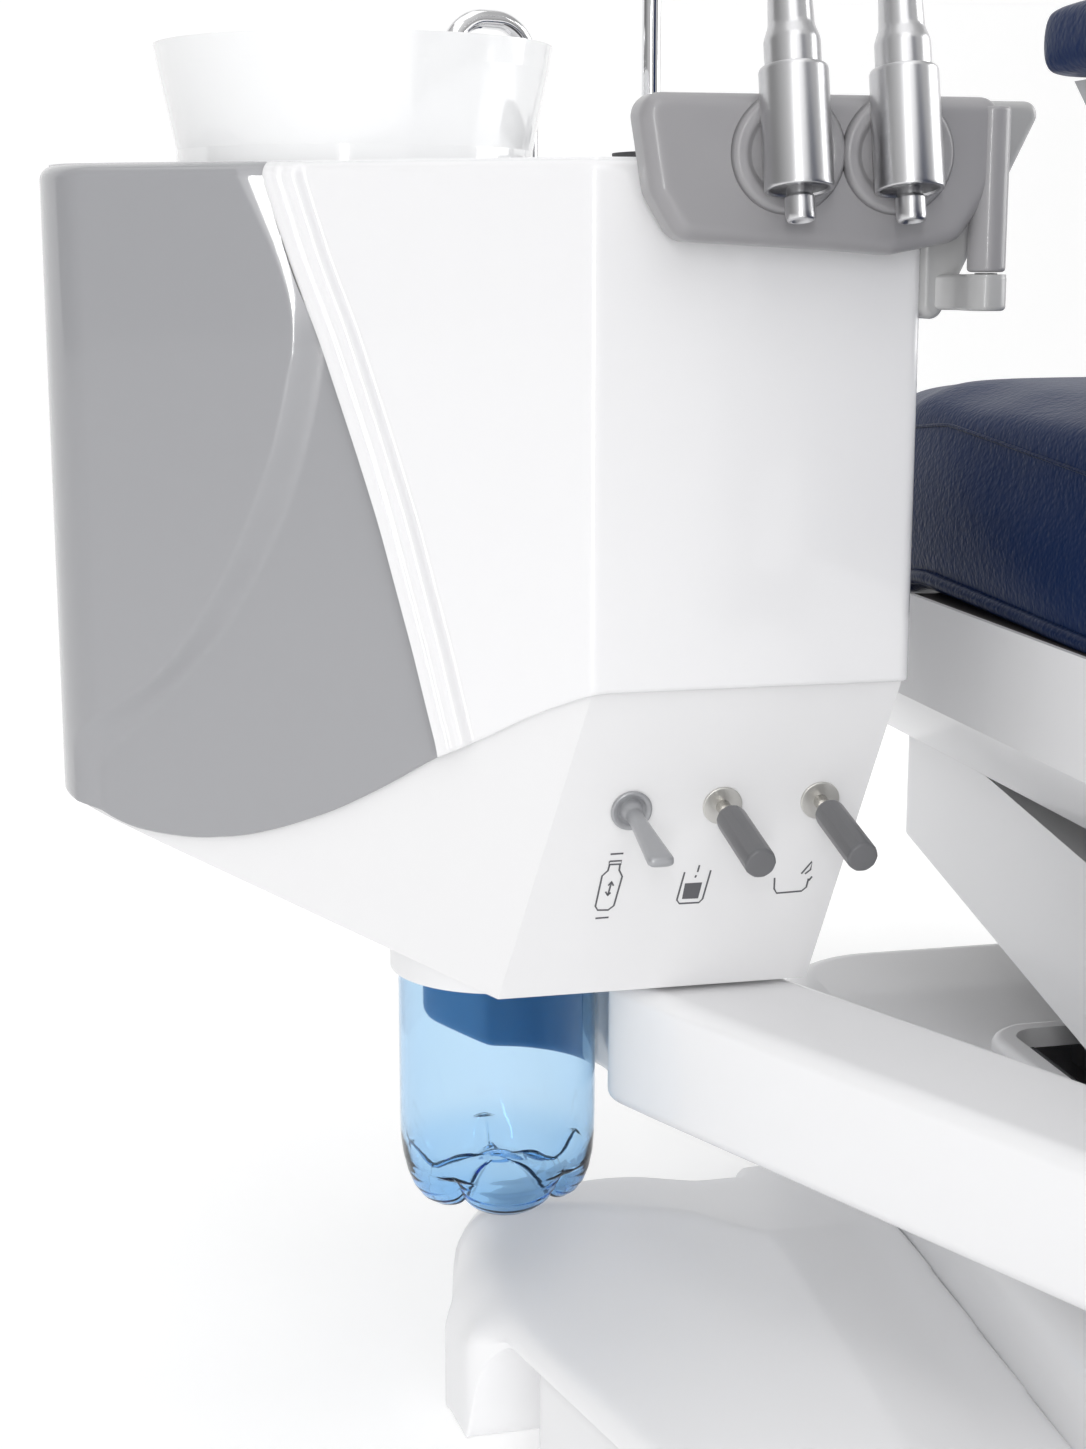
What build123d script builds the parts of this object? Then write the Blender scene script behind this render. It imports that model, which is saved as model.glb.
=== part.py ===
"""Dental patient chair with a chair-mounted water unit.

Frame in millimetres: +Z up, +Y towards the patient's feet, -X the patient's left, where
the water unit hangs. The origin is the middle of the base's footprint, on the floor.
"""

import os
from math import atan2, cos, degrees, radians, sin

from build123d import *

os.makedirs("parts", exist_ok=True)

# ---------------------------------------------------------------- driving dimensions
floor_gap = 6.0             # height of the levelling feet
plate_thick = 12.0
base_front, base_rear = 440.0, -480.0       # y of the base plate's two ends
base_half_front, base_half_rear = 238.0, 296.0
bolt_dx, bolt_dy = 400.0, 800.0
bolt_hole_r = 6.5
foot_r = 28.0

cover_wall = 4.0
cover_grow = 12.0                           # how far the cover stands outside the plate
cover_corner = 80.0
plate_corner = cover_corner - cover_grow
cover_top = 150.0
slot_half_width = 158.0
slot_front = 240.0
slot_rear = -430.0
lip_height = 8.0
lip_wide = 14.0

arm_pivot = (-300.0, 150.0)         # (y, z) of the lift arm's lower shaft
arm_length = 714.0
arm_angle = 11.3                    # degrees above level at the lowest position
arm_travel = 32.0                   # degrees that the arm can rise
link_drop = 42.0                    # how far the parallel link runs below the main arm
arm_cover_half = 150.0
arm_plate_x = 84.0
arm_plate_thick = 12.0
shaft_r = 13.0
link_pin_r = 8.0
running_gap = 0.05                  # radial clearance of every pivot

carrier_cheek_x = 104.0
carrier_cheek_thick = 14.0
beam_wide, beam_high = 34.0, 30.0
beam_top = 400.0
seat_plane = 425.0                  # underside of the seat upholstery
shroud_mid = 370.0                  # where the shroud's sides turn inwards
shroud_low = 302.0
shroud_wall = 3.0
shroud_rear, shroud_front = -245.0, 470.0

seat_half_width = 250.0
shroud_half = seat_half_width       # the shroud and the backrest are as wide as the seat
seat_thick = 112.0
seat_rear, seat_knee, seat_foot = -300.0, 185.0, 850.0
knee_drop = 8.0                     # degrees that the leg rest slopes down
leg_board_thick = 25.0

hinge = (-300.0, 500.0)             # (y, z) of the backrest hinge
roll_r = 37.0                       # the seat's rounded rear end, about the hinge
hinge_pin_r = 9.0
back_lean = 30.0                    # degrees behind vertical at rest
back_length = 640.0
back_half_low, back_half_high = seat_half_width, seat_half_width - 60.0
ear_gap, ear_thick = 2.5, 10.0      # beside the seat: the backrest frame's ears
yoke_gap, yoke_thick = 3.5, 12.0    # and outside them the cheeks of the backrest hinge
ear_x = seat_half_width + ear_gap
yoke_half = ear_x + ear_thick + yoke_gap + yoke_thick
back_thick = 88.0
back_shell_deep = 42.0

unit_front = 50.0                   # y of the water unit's front wall
unit_right = -(yoke_half + 24.0)    # x of its wall beside the chair
unit_back = 330.0
nose_back_x = unit_right - 343.0     # where the back wall meets the wall behind the nose
unit_corner = unit_right - 154.0    # x where the front wall meets the slanting side wall
side_angle = 30.0                   # the side wall's turn away from the front wall
side_run = 278.0                    # its length to the nose
seam_z = 405.0                      # lower edge of the upper casing at the front wall
deck_z = 642.0
hull_floor = 250.0
hull_wall = 3.0
casing_wall = 3.0
face_tilt = 12.7                    # degrees that the valve face leans in

bottle_x, bottle_y = unit_right - 178.0, unit_front + 100.0
bottle_r = 50.0
bottle_low = 127.0
bottle_sleeve_r = 54.0
bottle_shoulder = 300.0

valve_z = 345.5
valve_x = (unit_right - 131.0, unit_right - 86.5, unit_right - 38.0)    # lever, cup, bowl knob
disc_r = 9.8

bowl_x, bowl_y, bowl_r = unit_right - 233.0, unit_front + 172.0, 98.0
bowl_rim_z = 700.0

holder_x = (unit_right - 75.0, unit_right - 25.0)
holder_y, holder_z = 8.0, 627.0     # middle of each cup's lower rim
holder_lean = 12.5                  # degrees that the cups' lower ends lean out
holder_r, holder_wall = 15.0, 2.2
holder_long = 52.0


# ---------------------------------------------------------------- small helpers
def save(part, name):
    """Label a finished sub-part and write it as its own STEP file."""
    part.label = name
    export_step(part, f"parts/{name}.step")


def box_between(low, high, mode=Mode.ADD):
    """A box given by two opposite corners, inside the active part."""
    size = [h - l for l, h in zip(low, high)]
    with Locations((Vector(*low) + Vector(*high)) * 0.5):
        Box(*size, mode=mode)


def turned(y, z, angle, pivot=arm_pivot):
    """The point (y, z) in the lift arm's own frame, turned up by angle about its pivot."""
    c, s = cos(radians(angle)), sin(radians(angle))
    return (pivot[0] + y * c - z * s, pivot[1] + y * s + z * c)


front_pivot = turned(arm_length, 0, arm_angle)
link_low = (arm_pivot[0], arm_pivot[1] - link_drop)
link_high = (front_pivot[0], front_pivot[1] - link_drop)


def yz_plane(x):
    """The plane x = const whose sketch axes are +Y and +Z and whose normal is +X."""
    return Plane(origin=(x, 0, 0), x_dir=(0, 1, 0), z_dir=(1, 0, 0))


# ---------------------------------------------------------------- base
plate_z = floor_gap
plate_top = plate_z + plate_thick



def base_corners(grow):
    """Plan of the base: a little wider at the head end, grown outwards all round."""
    front, rear = base_half_front + grow, base_half_rear + grow
    return [
        (-rear, base_rear - grow), (rear, base_rear - grow),
        (front, base_front + grow), (-front, base_front + grow),
    ]


with BuildPart() as base_plate:
    with BuildSketch(Plane.XY.offset(plate_z)) as plate_plan:
        with BuildLine():
            Polyline(*base_corners(0), close=True)
        make_face()
        fillet(plate_plan.vertices(), plate_corner)
        with GridLocations(bolt_dx, bolt_dy, 2, 2):
            Circle(bolt_hole_r, mode=Mode.SUBTRACT)
    extrude(amount=plate_thick)
save(base_plate.part, "base_plate")

foot_dx, foot_dy = bolt_dx - 30, bolt_dy - 90
with BuildPart() as levelling_feet:
    with BuildSketch():
        Circle(foot_r)
        with GridLocations(foot_dx, foot_dy, 2, 2):
            Circle(foot_r)
    extrude(amount=floor_gap)
save(levelling_feet.part, "levelling_feet")

# Two welded pedestals carry the lift arm's lower shaft and the parallel links' pin.
pedestal_x, pedestal_thick = 118.0, 14.0
pedestal_r = 34.0
with BuildPart() as lift_pedestals:
    for side in (-1, 1):
        x0 = side * pedestal_x - (pedestal_thick if side < 0 else 0)
        with BuildSketch(yz_plane(x0)):
            with BuildLine():
                Polyline(
                    (arm_pivot[0] - 75, plate_top), (arm_pivot[0] + 75, plate_top),
                    (arm_pivot[0] + pedestal_r, arm_pivot[1]),
                    (arm_pivot[0] - pedestal_r, arm_pivot[1]), close=True,
                )
            make_face()
            with Locations(arm_pivot):
                Circle(pedestal_r)
                Circle(shaft_r + running_gap, mode=Mode.SUBTRACT)
            with Locations(link_low):
                Circle(link_pin_r + running_gap, mode=Mode.SUBTRACT)
        extrude(amount=pedestal_thick)
save(lift_pedestals.part, "lift_pedestals")


def pivot_pins(name, shaft_at, pin_at, half):
    """The arm's shaft and the links' pin, both lying along X, with chamfered ends."""
    with BuildPart() as pins:
        for centre, r in ((shaft_at, shaft_r), (pin_at, link_pin_r)):
            with BuildSketch(yz_plane(-half)):
                with Locations(centre):
                    Circle(r)
            extrude(amount=2 * half)
        chamfer(pins.edges().filter_by(GeomType.CIRCLE), 1.5)
    save(pins.part, name)


pivot_pins("base_pivot_pins", arm_pivot, link_low, pedestal_x + pedestal_thick + 4)

# The moulded base cover: a low rounded shell with a raised lip around the lift arm's slot.
slot_mid, slot_long = (slot_front + slot_rear) / 2, slot_front - slot_rear
with BuildPart() as base_cover:
    with BuildSketch(Plane.XY.offset(floor_gap + 2)):
        with BuildLine():
            Polyline(*base_corners(cover_grow), close=True)
        make_face()
    extrude(amount=cover_top - floor_gap - 2)
    fillet(base_cover.edges().filter_by(Axis.Z), cover_corner)
    fillet(base_cover.faces().sort_by(Axis.Z)[-1].outer_wire().edges(), 30)
    with BuildSketch(Plane.XY.offset(cover_top - 1)):
        with Locations((0, slot_mid)):
            RectangleRounded(2 * (slot_half_width + lip_wide), slot_long + 2 * lip_wide, 30)
    extrude(amount=lip_height + 1)
    fillet(base_cover.faces().sort_by(Axis.Z)[-1].outer_wire().edges(), 6)
    with BuildPart(mode=Mode.PRIVATE) as cover_inside:
        with BuildSketch(Plane.XY.offset(0)):
            with BuildLine():
                Polyline(*base_corners(cover_grow - cover_wall), close=True)
            make_face()
        extrude(amount=cover_top - cover_wall)
        fillet(cover_inside.edges().filter_by(Axis.Z), cover_corner - cover_wall)
        fillet(cover_inside.faces().sort_by(Axis.Z)[-1].outer_wire().edges(), 26)
    add(cover_inside, mode=Mode.SUBTRACT)
    with BuildSketch(Plane.XY.offset(floor_gap)):
        with Locations((0, slot_mid)):
            RectangleRounded(2 * slot_half_width, slot_long, 16)
    extrude(amount=cover_top + lip_height, mode=Mode.SUBTRACT)
save(base_cover.part, "base_cover")

# Rubber wipers close the gap between the slot and the moving arm cover.
wiper_z, wiper_thick = cover_top - 2.0, 6.0
with BuildPart() as slot_wipers:
    for side in (-1, 1):
        with BuildSketch(Plane.XY.offset(wiper_z)):
            with Locations((side * (arm_cover_half + 0.6 + slot_half_width) / 2, slot_mid)):
                Rectangle(slot_half_width - arm_cover_half - 0.6, slot_long - 40)
        extrude(amount=wiper_thick)
save(slot_wipers.part, "slot_wipers")

# The hydraulic power pack stands on the plate in front of the arm, under the cover.
with BuildPart() as lift_power_pack:
    box_between((-95, 262, plate_top), (95, 400, 92))
    fillet(lift_power_pack.edges().filter_by(Axis.Z), 14)
    with BuildSketch(Plane(origin=(-60, 331, 104), x_dir=(0, 1, 0), z_dir=(1, 0, 0))):
        Circle(24)
    extrude(amount=120)
save(lift_power_pack.part, "lift_power_pack")

# ---------------------------------------------------------------- floor box beside the base
fbox_left, fbox_right = -505.0, -240.0
fbox_rear, fbox_front = -420.0, 262.0
fbox_top, fbox_edge = 100.0, 66.0           # the plateau, and the skirt over the tray
fbox_crease, fbox_lip = -350.0, -458.0      # x where the flank starts and ends
ridge_y, lobe_y = 168.0, 105.0              # the rounded end lobe, and its scooped front
tray_left, tray_right, tray_front = -464.0, -318.0, 98.0

with BuildPart() as floor_box_tray:
    box_between((tray_left, fbox_rear + 6, 0), (tray_right, tray_front, fbox_edge))
    fillet(floor_box_tray.edges().filter_by(Axis.Z), 16)
    fillet(floor_box_tray.faces().sort_by(Axis.Z)[-1].edges(), 8)
    box_between((tray_left + 5, fbox_rear + 11, 5), (tray_right - 5, tray_front - 5, fbox_edge + 1),
                Mode.SUBTRACT)
save(floor_box_tray.part, "floor_box_tray")

with BuildPart() as floor_box_cover:
    with BuildSketch(Plane.XZ.offset(-fbox_front)):
        with BuildLine():
            Polyline(
                (fbox_right, fbox_edge), (fbox_right, fbox_top), (fbox_crease, fbox_top),
                (fbox_lip, fbox_edge + 6), (fbox_lip, fbox_edge), close=True,
            )
        make_face()
    extrude(amount=fbox_front - fbox_rear)
    with BuildSketch() as lobe:
        with BuildLine():
            Polyline(
                (fbox_right, lobe_y), (fbox_right, fbox_front), (fbox_left, fbox_front),
                (fbox_left, lobe_y + 30), (fbox_left + 15, lobe_y), close=True,
            )
        make_face()
        fillet(lobe.vertices().sort_by(Axis.Y)[-2:].sort_by(Axis.X)[:1], 70)
    extrude(amount=fbox_top)
    with BuildSketch(yz_plane(fbox_left - 1)):
        with BuildLine():
            Polyline(
                (lobe_y - 40, fbox_edge + 6), (lobe_y, fbox_edge + 6), (ridge_y, fbox_top),
                (ridge_y, fbox_top + 1), (lobe_y - 40, fbox_top + 1), close=True,
            )
        make_face()
    extrude(amount=fbox_lip - fbox_left + 1, mode=Mode.SUBTRACT)
    box_between((fbox_left + 25, lobe_y + 6, -1), (tray_right, fbox_front - 25, fbox_edge - 8),
                Mode.SUBTRACT)
    with BuildSketch(Plane.XY.offset(-1)):
        with BuildLine():
            Polyline(*base_corners(cover_grow), close=True)
        make_face()
    extrude(amount=fbox_top + 2, mode=Mode.SUBTRACT)
save(floor_box_cover.part, "floor_box_cover")


# ---------------------------------------------------------------- lift arm
def arm_outline(inset, rear, front):
    """Side outline of the tapering arm in (y, z): deep at the base, shallow at the seat."""
    top_rear, top_front = 206.0 - inset, 314.0 - inset
    low_rear, low_front = 66.0 + inset, 234.0 + inset
    return [(rear, top_rear), (front, top_front), (front, low_front), (rear, low_rear)]


arm_rear, arm_front = arm_pivot[0] - 55, front_pivot[0] + 38

# Arc slots let the parallel links' fixed pins pass through the arm's plates as it rises.
pin_path = Edge.make_circle(link_drop, start_angle=270 - arm_travel, end_angle=270)
with BuildPart() as lift_arm_frame:
    for side in (-1, 1):
        x0 = side * arm_plate_x - (arm_plate_thick if side < 0 else 0)
        with BuildSketch(yz_plane(x0)):
            with BuildLine():
                Polyline(*arm_outline(14, arm_rear + 12, arm_front - 12), close=True)
            make_face()
            for centre, r in ((arm_pivot, shaft_r), (front_pivot, shaft_r)):
                with Locations(centre):
                    Circle(r + running_gap, mode=Mode.SUBTRACT)
            with Locations(arm_pivot, front_pivot):
                SlotArc(pin_path, 20, mode=Mode.SUBTRACT)
        extrude(amount=arm_plate_thick)
    for y in (-215.0, 20.0, 250.0):
        y_top = 206 + (314 - 206) * (y - arm_rear) / (arm_front - arm_rear)
        box_between((-arm_plate_x, y - 30, y_top - 30), (arm_plate_x, y + 30, y_top - 18))
    # standoffs that carry the cover
    standoff = arm_cover_half - cover_wall - arm_plate_x - arm_plate_thick
    for side in (-1, 1):
        for y, z in ((-180.0, 175.0), (60.0, 205.0), (260.0, 262.0)):
            start = side * (arm_plate_x + arm_plate_thick) - (standoff if side < 0 else 0)
            with BuildSketch(yz_plane(start)):
                with Locations((y, z)):
                    Circle(8)
            extrude(amount=standoff)
save(lift_arm_frame.part, "lift_arm_frame")

# The painted cover over the arm: two deep sides and a top, open underneath and at both ends.
with BuildPart() as lift_arm_cover:
    with BuildSketch(yz_plane(-arm_cover_half)):
        with BuildLine():
            Polyline(*arm_outline(0, arm_rear, arm_front), close=True)
        make_face()
    extrude(amount=2 * arm_cover_half)
    fillet(lift_arm_cover.faces().sort_by(Axis.Z)[-1].edges().filter_by(
        lambda e: abs(e.tangent_at(0.5).X) < 0.01), 18)
    with BuildSketch(yz_plane(-arm_cover_half + cover_wall)):
        with BuildLine():
            Polyline(
                (arm_rear - 10, 206 - cover_wall - 1.5), (arm_front + 10, 314 - cover_wall + 1.5),
                (arm_front + 10, 0), (arm_rear - 10, 0), close=True,
            )
        make_face()
    extrude(amount=2 * (arm_cover_half - cover_wall), mode=Mode.SUBTRACT)
    cut_half = carrier_cheek_x + beam_wide + 6
    box_between((-cut_half, 310, 270), (cut_half, arm_front + 10, 340), Mode.SUBTRACT)
save(lift_arm_cover.part, "lift_arm_cover")

# Two flat parallel links keep the seat level as the arm rises.
link_x, link_thick, link_half = 56.0, 10.0, 9.0
link_span = ((link_high[0] - link_low[0]) ** 2 + (link_high[1] - link_low[1]) ** 2) ** 0.5
link_angle = degrees(atan2(link_high[1] - link_low[1], link_high[0] - link_low[0]))
with BuildPart() as parallel_links:
    for side in (-1, 1):
        x0 = side * link_x - (link_thick if side < 0 else 0)
        with BuildSketch(yz_plane(x0)):
            middle = ((link_low[0] + link_high[0]) / 2, (link_low[1] + link_high[1]) / 2)
            with Locations(Location((middle[0], middle[1]), link_angle)):
                SlotCenterToCenter(link_span, 2 * link_half + 6)
            with Locations(link_low, link_high):
                Circle(link_pin_r + running_gap, mode=Mode.SUBTRACT)
        extrude(amount=link_thick)
save(parallel_links.part, "parallel_links")

# ---------------------------------------------------------------- seat carrier
leg_fall = sin(radians(knee_drop)) / cos(radians(knee_drop))
beam_rear, beam_front = -372.0, 460.0
beam_low = beam_top - beam_high
yoke_r = 26.0
elbow = (-seat_half_width + 52.0, seat_rear)    # plan position of the water unit's post


def leg_line(y):
    """Height of the leg rest's underside at y."""
    return seat_plane - max(0.0, y - seat_knee) * leg_fall


def beam_outline():
    """Side outline of a carrier beam: level under the seat, falling under the leg rest."""
    tip = leg_line(beam_front) - leg_board_thick
    return [
        (beam_rear, beam_low), (seat_knee, beam_low), (beam_front, tip - beam_high),
        (beam_front, tip), (seat_knee, beam_top), (beam_rear, beam_top),
    ]


with BuildPart() as seat_carrier:
    for side in (-1, 1):
        cheek_start = side * carrier_cheek_x - (carrier_cheek_thick if side < 0 else 0)
        with BuildSketch(yz_plane(cheek_start)):
            with BuildLine():
                Polyline(
                    (front_pivot[0] - 60, beam_low + 6), (beam_front, leg_line(beam_front) - 45),
                    (front_pivot[0] + 24, link_high[1] - 14), (front_pivot[0] - 24, link_high[1] - 14),
                    close=True,
                )
            make_face()
            with Locations(front_pivot):
                Circle(shaft_r + running_gap, mode=Mode.SUBTRACT)
            with Locations(link_high):
                Circle(link_pin_r + running_gap, mode=Mode.SUBTRACT)
        extrude(amount=carrier_cheek_thick)
        with BuildSketch(yz_plane(side * carrier_cheek_x - (beam_wide if side < 0 else 0))):
            with BuildLine():
                Polyline(*beam_outline(), close=True)
            make_face()
        extrude(amount=beam_wide)
    for y in (beam_rear, 120.0):
        box_between((-carrier_cheek_x, y, beam_low), (carrier_cheek_x, y + 30, beam_top))
    # the yoke that carries the backrest and the armrests
    box_between((-yoke_half, beam_rear, beam_low), (yoke_half, beam_rear + 30, beam_top))
    for side in (-1, 1):
        with BuildSketch(yz_plane(side * yoke_half - (yoke_thick if side > 0 else 0))):
            with BuildLine():
                Polyline(
                    (beam_rear, beam_low), (beam_rear + 60, beam_low),
                    (hinge[0] + yoke_r, hinge[1]), (hinge[0] - yoke_r, hinge[1]), close=True,
                )
            make_face()
            with Locations(hinge):
                Circle(yoke_r)
                Circle(hinge_pin_r + running_gap, mode=Mode.SUBTRACT)
        extrude(amount=yoke_thick)
    # outrigger for the water unit's support arm
    box_between((elbow[0] - 42, elbow[1] - 40, beam_low),
                (-beam_wide - carrier_cheek_x, elbow[1] + 30, beam_top))
save(seat_carrier.part, "seat_carrier")
pivot_pins("carrier_pivot_pins", front_pivot, link_high, carrier_cheek_x + carrier_cheek_thick + 5)


# Moulded shroud under the seat: vertical sides that turn in towards the lift arm.
def shroud_section(inset):
    """Shroud outline in (x, z), inset by the wall."""
    half = shroud_half - inset
    neck = arm_cover_half + 12 - inset
    return [
        (-half, seat_plane), (-half, shroud_mid + inset / 2), (-neck, shroud_low),
        (neck, shroud_low), (half, shroud_mid + inset / 2), (half, seat_plane),
    ]


neck_half = arm_cover_half + 6
with BuildPart() as seat_shroud:
    with BuildSketch(Plane.XZ.offset(-shroud_front)):
        with BuildLine():
            Polyline(*shroud_section(0), close=True)
        make_face()
    extrude(amount=shroud_front - shroud_rear)
    with BuildSketch(Plane.XZ.offset(-shroud_front + shroud_wall)):
        with BuildLine():
            Polyline(*shroud_section(shroud_wall), close=True)
        make_face()
    extrude(amount=shroud_front - shroud_rear - 2 * shroud_wall, mode=Mode.SUBTRACT)
    # open underneath, along the lift arm, and above the leg rest's sloping underside
    box_between((-neck_half, shroud_rear - 1, shroud_low - 1),
                (neck_half, shroud_front + 1, seat_plane + 35), Mode.SUBTRACT)
    with BuildSketch(yz_plane(-shroud_half - 1)):
        with BuildLine():
            Polyline(
                (seat_knee, seat_plane), (shroud_front + 1, leg_line(shroud_front + 1)),
                (shroud_front + 1, seat_plane + 9), (shroud_rear - 1, seat_plane + 9),
                (shroud_rear - 1, seat_plane), close=True,
            )
        make_face()
    extrude(amount=2 * shroud_half + 2, mode=Mode.SUBTRACT)
    box_between((-shroud_half + 3, shroud_rear - 1, beam_top),
                (shroud_half - 3, shroud_rear + 9, seat_plane + 15), Mode.SUBTRACT)
save(seat_shroud.part, "seat_shroud")

# Plywood boards under the upholstery: one level, one on the sloping front of the beams.
pan_rear, board_end = seat_rear + 20, seat_foot - 40
with BuildPart() as seat_boards:
    pan_half = shroud_half - shroud_wall
    box_between((-pan_half, pan_rear, beam_top), (pan_half, seat_knee - 2, seat_plane))
    fillet(seat_boards.edges().filter_by(Axis.Z), 14)
    with BuildSketch(yz_plane(-neck_half + 1)):
        with BuildLine():
            Polyline(
                (seat_knee + 2, leg_line(seat_knee + 2) - leg_board_thick),
                (board_end, leg_line(board_end) - leg_board_thick),
                (board_end, leg_line(board_end)), (seat_knee + 2, leg_line(seat_knee + 2)), close=True,
            )
        make_face()
    extrude(amount=2 * (neck_half - 1))
save(seat_boards.part, "seat_boards")

# One-piece seat and leg upholstery, rounded at the rear about the backrest's hinge line.
foot_z = leg_line(seat_foot)
seat_top = seat_plane + seat_thick
with BuildPart() as seat_cushion:
    with BuildSketch(yz_plane(-seat_half_width)):
        with BuildLine():
            Polyline(
                (hinge[0] - roll_r, hinge[1]), (seat_rear, seat_plane), (seat_knee, seat_plane),
                (seat_foot, foot_z), (seat_foot, foot_z + 62), (seat_knee + 40, seat_top - 10),
                (seat_knee - 90, seat_top), (hinge[0], seat_top),
            )
            ThreePointArc(
                (hinge[0], seat_top), (hinge[0] - roll_r * sin(radians(45)), hinge[1] + roll_r * 0.7071),
                (hinge[0] - roll_r, hinge[1]),
            )
        make_face()
    extrude(amount=2 * seat_half_width)
    foot_half = seat_half_width - 70.0
    for side in (-1, 1):
        with BuildSketch():
            with BuildLine():
                Polyline(
                    (side * seat_half_width, seat_knee - 40),
                    (side * (seat_half_width + 20), seat_knee - 40),
                    (side * (seat_half_width + 20), seat_foot + 5),
                    (side * foot_half, seat_foot + 5), close=True,
                )
            make_face()
        extrude(amount=700, mode=Mode.SUBTRACT)
    fillet(seat_cushion.edges().filter_by(Axis.Z), 18)
save(seat_cushion.part, "seat_cushion")

# ---------------------------------------------------------------- backrest
lean = radians(back_lean)
along_back = Vector(0, -sin(lean), cos(lean))
behind = Vector(0, -cos(lean), -sin(lean))
hinge_point = Vector(0, *hinge)
back_low = 42.0                             # where the backrest starts, up from the hinge
board_gap = 37.0                            # how far the upholstery's face stands before the hinge
pad_back = back_thick - board_gap           # rear face of the upholstery


def back_plane(depth):
    """Plane across the backrest at a depth behind the hinge: X sideways, Y up the back."""
    return Plane(origin=hinge_point + behind * depth, x_dir=(1, 0, 0), z_dir=behind)


def back_side(x):
    """Plane along the backrest at x: its X runs up the back and its Y backwards."""
    return Plane(origin=hinge_point + Vector(x, 0, 0), x_dir=along_back, z_dir=(1, 0, 0))


def back_outline(inset):
    """Corner points of the tapering backrest, inset all round."""
    low, high = back_half_low - inset, back_half_high - inset
    return [
        (-low, back_low + inset), (low, back_low + inset),
        (high, back_length - inset), (-high, back_length - inset),
    ]


def rounded_back(part_depth, thick, inset, corner, mode=Mode.ADD):
    """A plate of the backrest's outline, inside the active part."""
    with BuildSketch(back_plane(part_depth)) as plan:
        with BuildLine():
            Polyline(*back_outline(inset), close=True)
        make_face()
        fillet(plan.vertices(), corner)
    extrude(plan.sketch, amount=thick, mode=mode)


with BuildPart() as backrest_cushion:
    rounded_back(-board_gap, back_thick, 0, 70)
save(backrest_cushion.part, "backrest_cushion")

with BuildPart() as backrest_board:
    rounded_back(pad_back, 12, 22, 60)
save(backrest_board.part, "backrest_board")

with BuildPart() as backrest_shell:
    rounded_back(pad_back, back_shell_deep, 8, 66)
    fillet(backrest_shell.faces().sort_by(Axis((0, 0, 0), behind))[-1].edges(), 12)
    rounded_back(pad_back, back_shell_deep - 3, 14, 60, Mode.SUBTRACT)
save(backrest_shell.part, "backrest_shell")

frame_depth = pad_back + back_shell_deep
with BuildPart() as backrest_frame:
    for side in (-1, 1):
        with BuildSketch(back_side(side * ear_x - (ear_thick if side < 0 else 0))):
            with BuildLine():
                Polyline(
                    (0, -yoke_r), (110, 40), (110, frame_depth + 8), (22, frame_depth + 8),
                    (-yoke_r + 1, 6), close=True,
                )
            make_face()
            Circle(yoke_r)
            Circle(hinge_pin_r + running_gap, mode=Mode.SUBTRACT)
        extrude(amount=ear_thick)
    with BuildSketch(back_plane(frame_depth)):
        with Locations((0, 80)):
            Rectangle(2 * (ear_x + ear_thick), 60)
    extrude(amount=8)
save(backrest_frame.part, "backrest_frame")

hinge_pin_long = yoke_half - ear_x + 0.5
with BuildPart() as backrest_pins:
    for side in (-1, 1):
        with BuildSketch(yz_plane(side * yoke_half - (0 if side < 0 else hinge_pin_long))):
            with Locations(hinge):
                Circle(hinge_pin_r)
        extrude(amount=hinge_pin_long)
save(backrest_pins.part, "backrest_pins")

# The headrest's flat stem slides in a guide block behind the backrest shell.
stem_half, stem_thick, stem_slack = 30.0, 8.0, 0.4
guide_half, guide_low, guide_high = 46.0, back_length - 140.0, back_length - 28.0
stem_depth, stem_low = frame_depth + 5.0, guide_low - 100.0
with BuildPart() as headrest_guide:
    with BuildSketch(back_plane(frame_depth)):
        with Locations((0, (guide_low + guide_high) / 2)):
            RectangleRounded(2 * guide_half, guide_high - guide_low, 10)
    extrude(amount=stem_thick + 12)
    with BuildSketch(back_plane(stem_depth - stem_slack)):
        with Locations((0, (guide_low + guide_high) / 2)):
            Rectangle(2 * (stem_half + stem_slack), guide_high - guide_low + 88)
    extrude(amount=stem_thick + 2 * stem_slack, mode=Mode.SUBTRACT)
save(headrest_guide.part, "headrest_guide")

tilt_up, tilt_depth = back_length + 105.0, frame_depth - 6.0    # the headrest's tilt pin
with BuildPart() as headrest_stem:
    with BuildSketch(back_plane(stem_depth)):
        with Locations((0, (stem_low + tilt_up - 22) / 2)):
            Rectangle(2 * stem_half, tilt_up - 22 - stem_low)
    extrude(amount=stem_thick)
    with BuildSketch(back_side(-12)):
        with BuildLine():
            Polyline(
                (tilt_up - 60, stem_depth), (tilt_up - 60, stem_depth + stem_thick),
                (tilt_up, tilt_depth + 15), (tilt_up, tilt_depth - 15), close=True,
            )
        make_face()
        with Locations((tilt_up, tilt_depth)):
            Circle(15)
    extrude(amount=24)
    with BuildSketch(back_side(-23)):
        with Locations((tilt_up, tilt_depth)):
            Circle(6)
    extrude(amount=46)
save(headrest_stem.part, "headrest_stem")

head_low, head_high, head_half = back_length + 32.0, back_length + 172.0, 130.0
head_front, head_back = -board_gap - 5.0, board_gap - 19.0
with BuildPart() as headrest_bracket:
    with BuildSketch(back_plane(head_back)):
        with Locations((0, (head_low + head_high) / 2)):
            RectangleRounded(200, 100, 20)
    extrude(amount=10)
    for x0 in (-21, 13):
        with BuildSketch(back_side(x0)):
            with BuildLine():
                Polyline(
                    (tilt_up - 22, head_back + 10), (tilt_up + 22, head_back + 10),
                    (tilt_up + 14, tilt_depth), (tilt_up - 14, tilt_depth), close=True,
                )
            make_face()
            with Locations((tilt_up, tilt_depth)):
                Circle(14)
                Circle(6 + running_gap, mode=Mode.SUBTRACT)
        extrude(amount=8)
save(headrest_bracket.part, "headrest_bracket")

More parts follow.
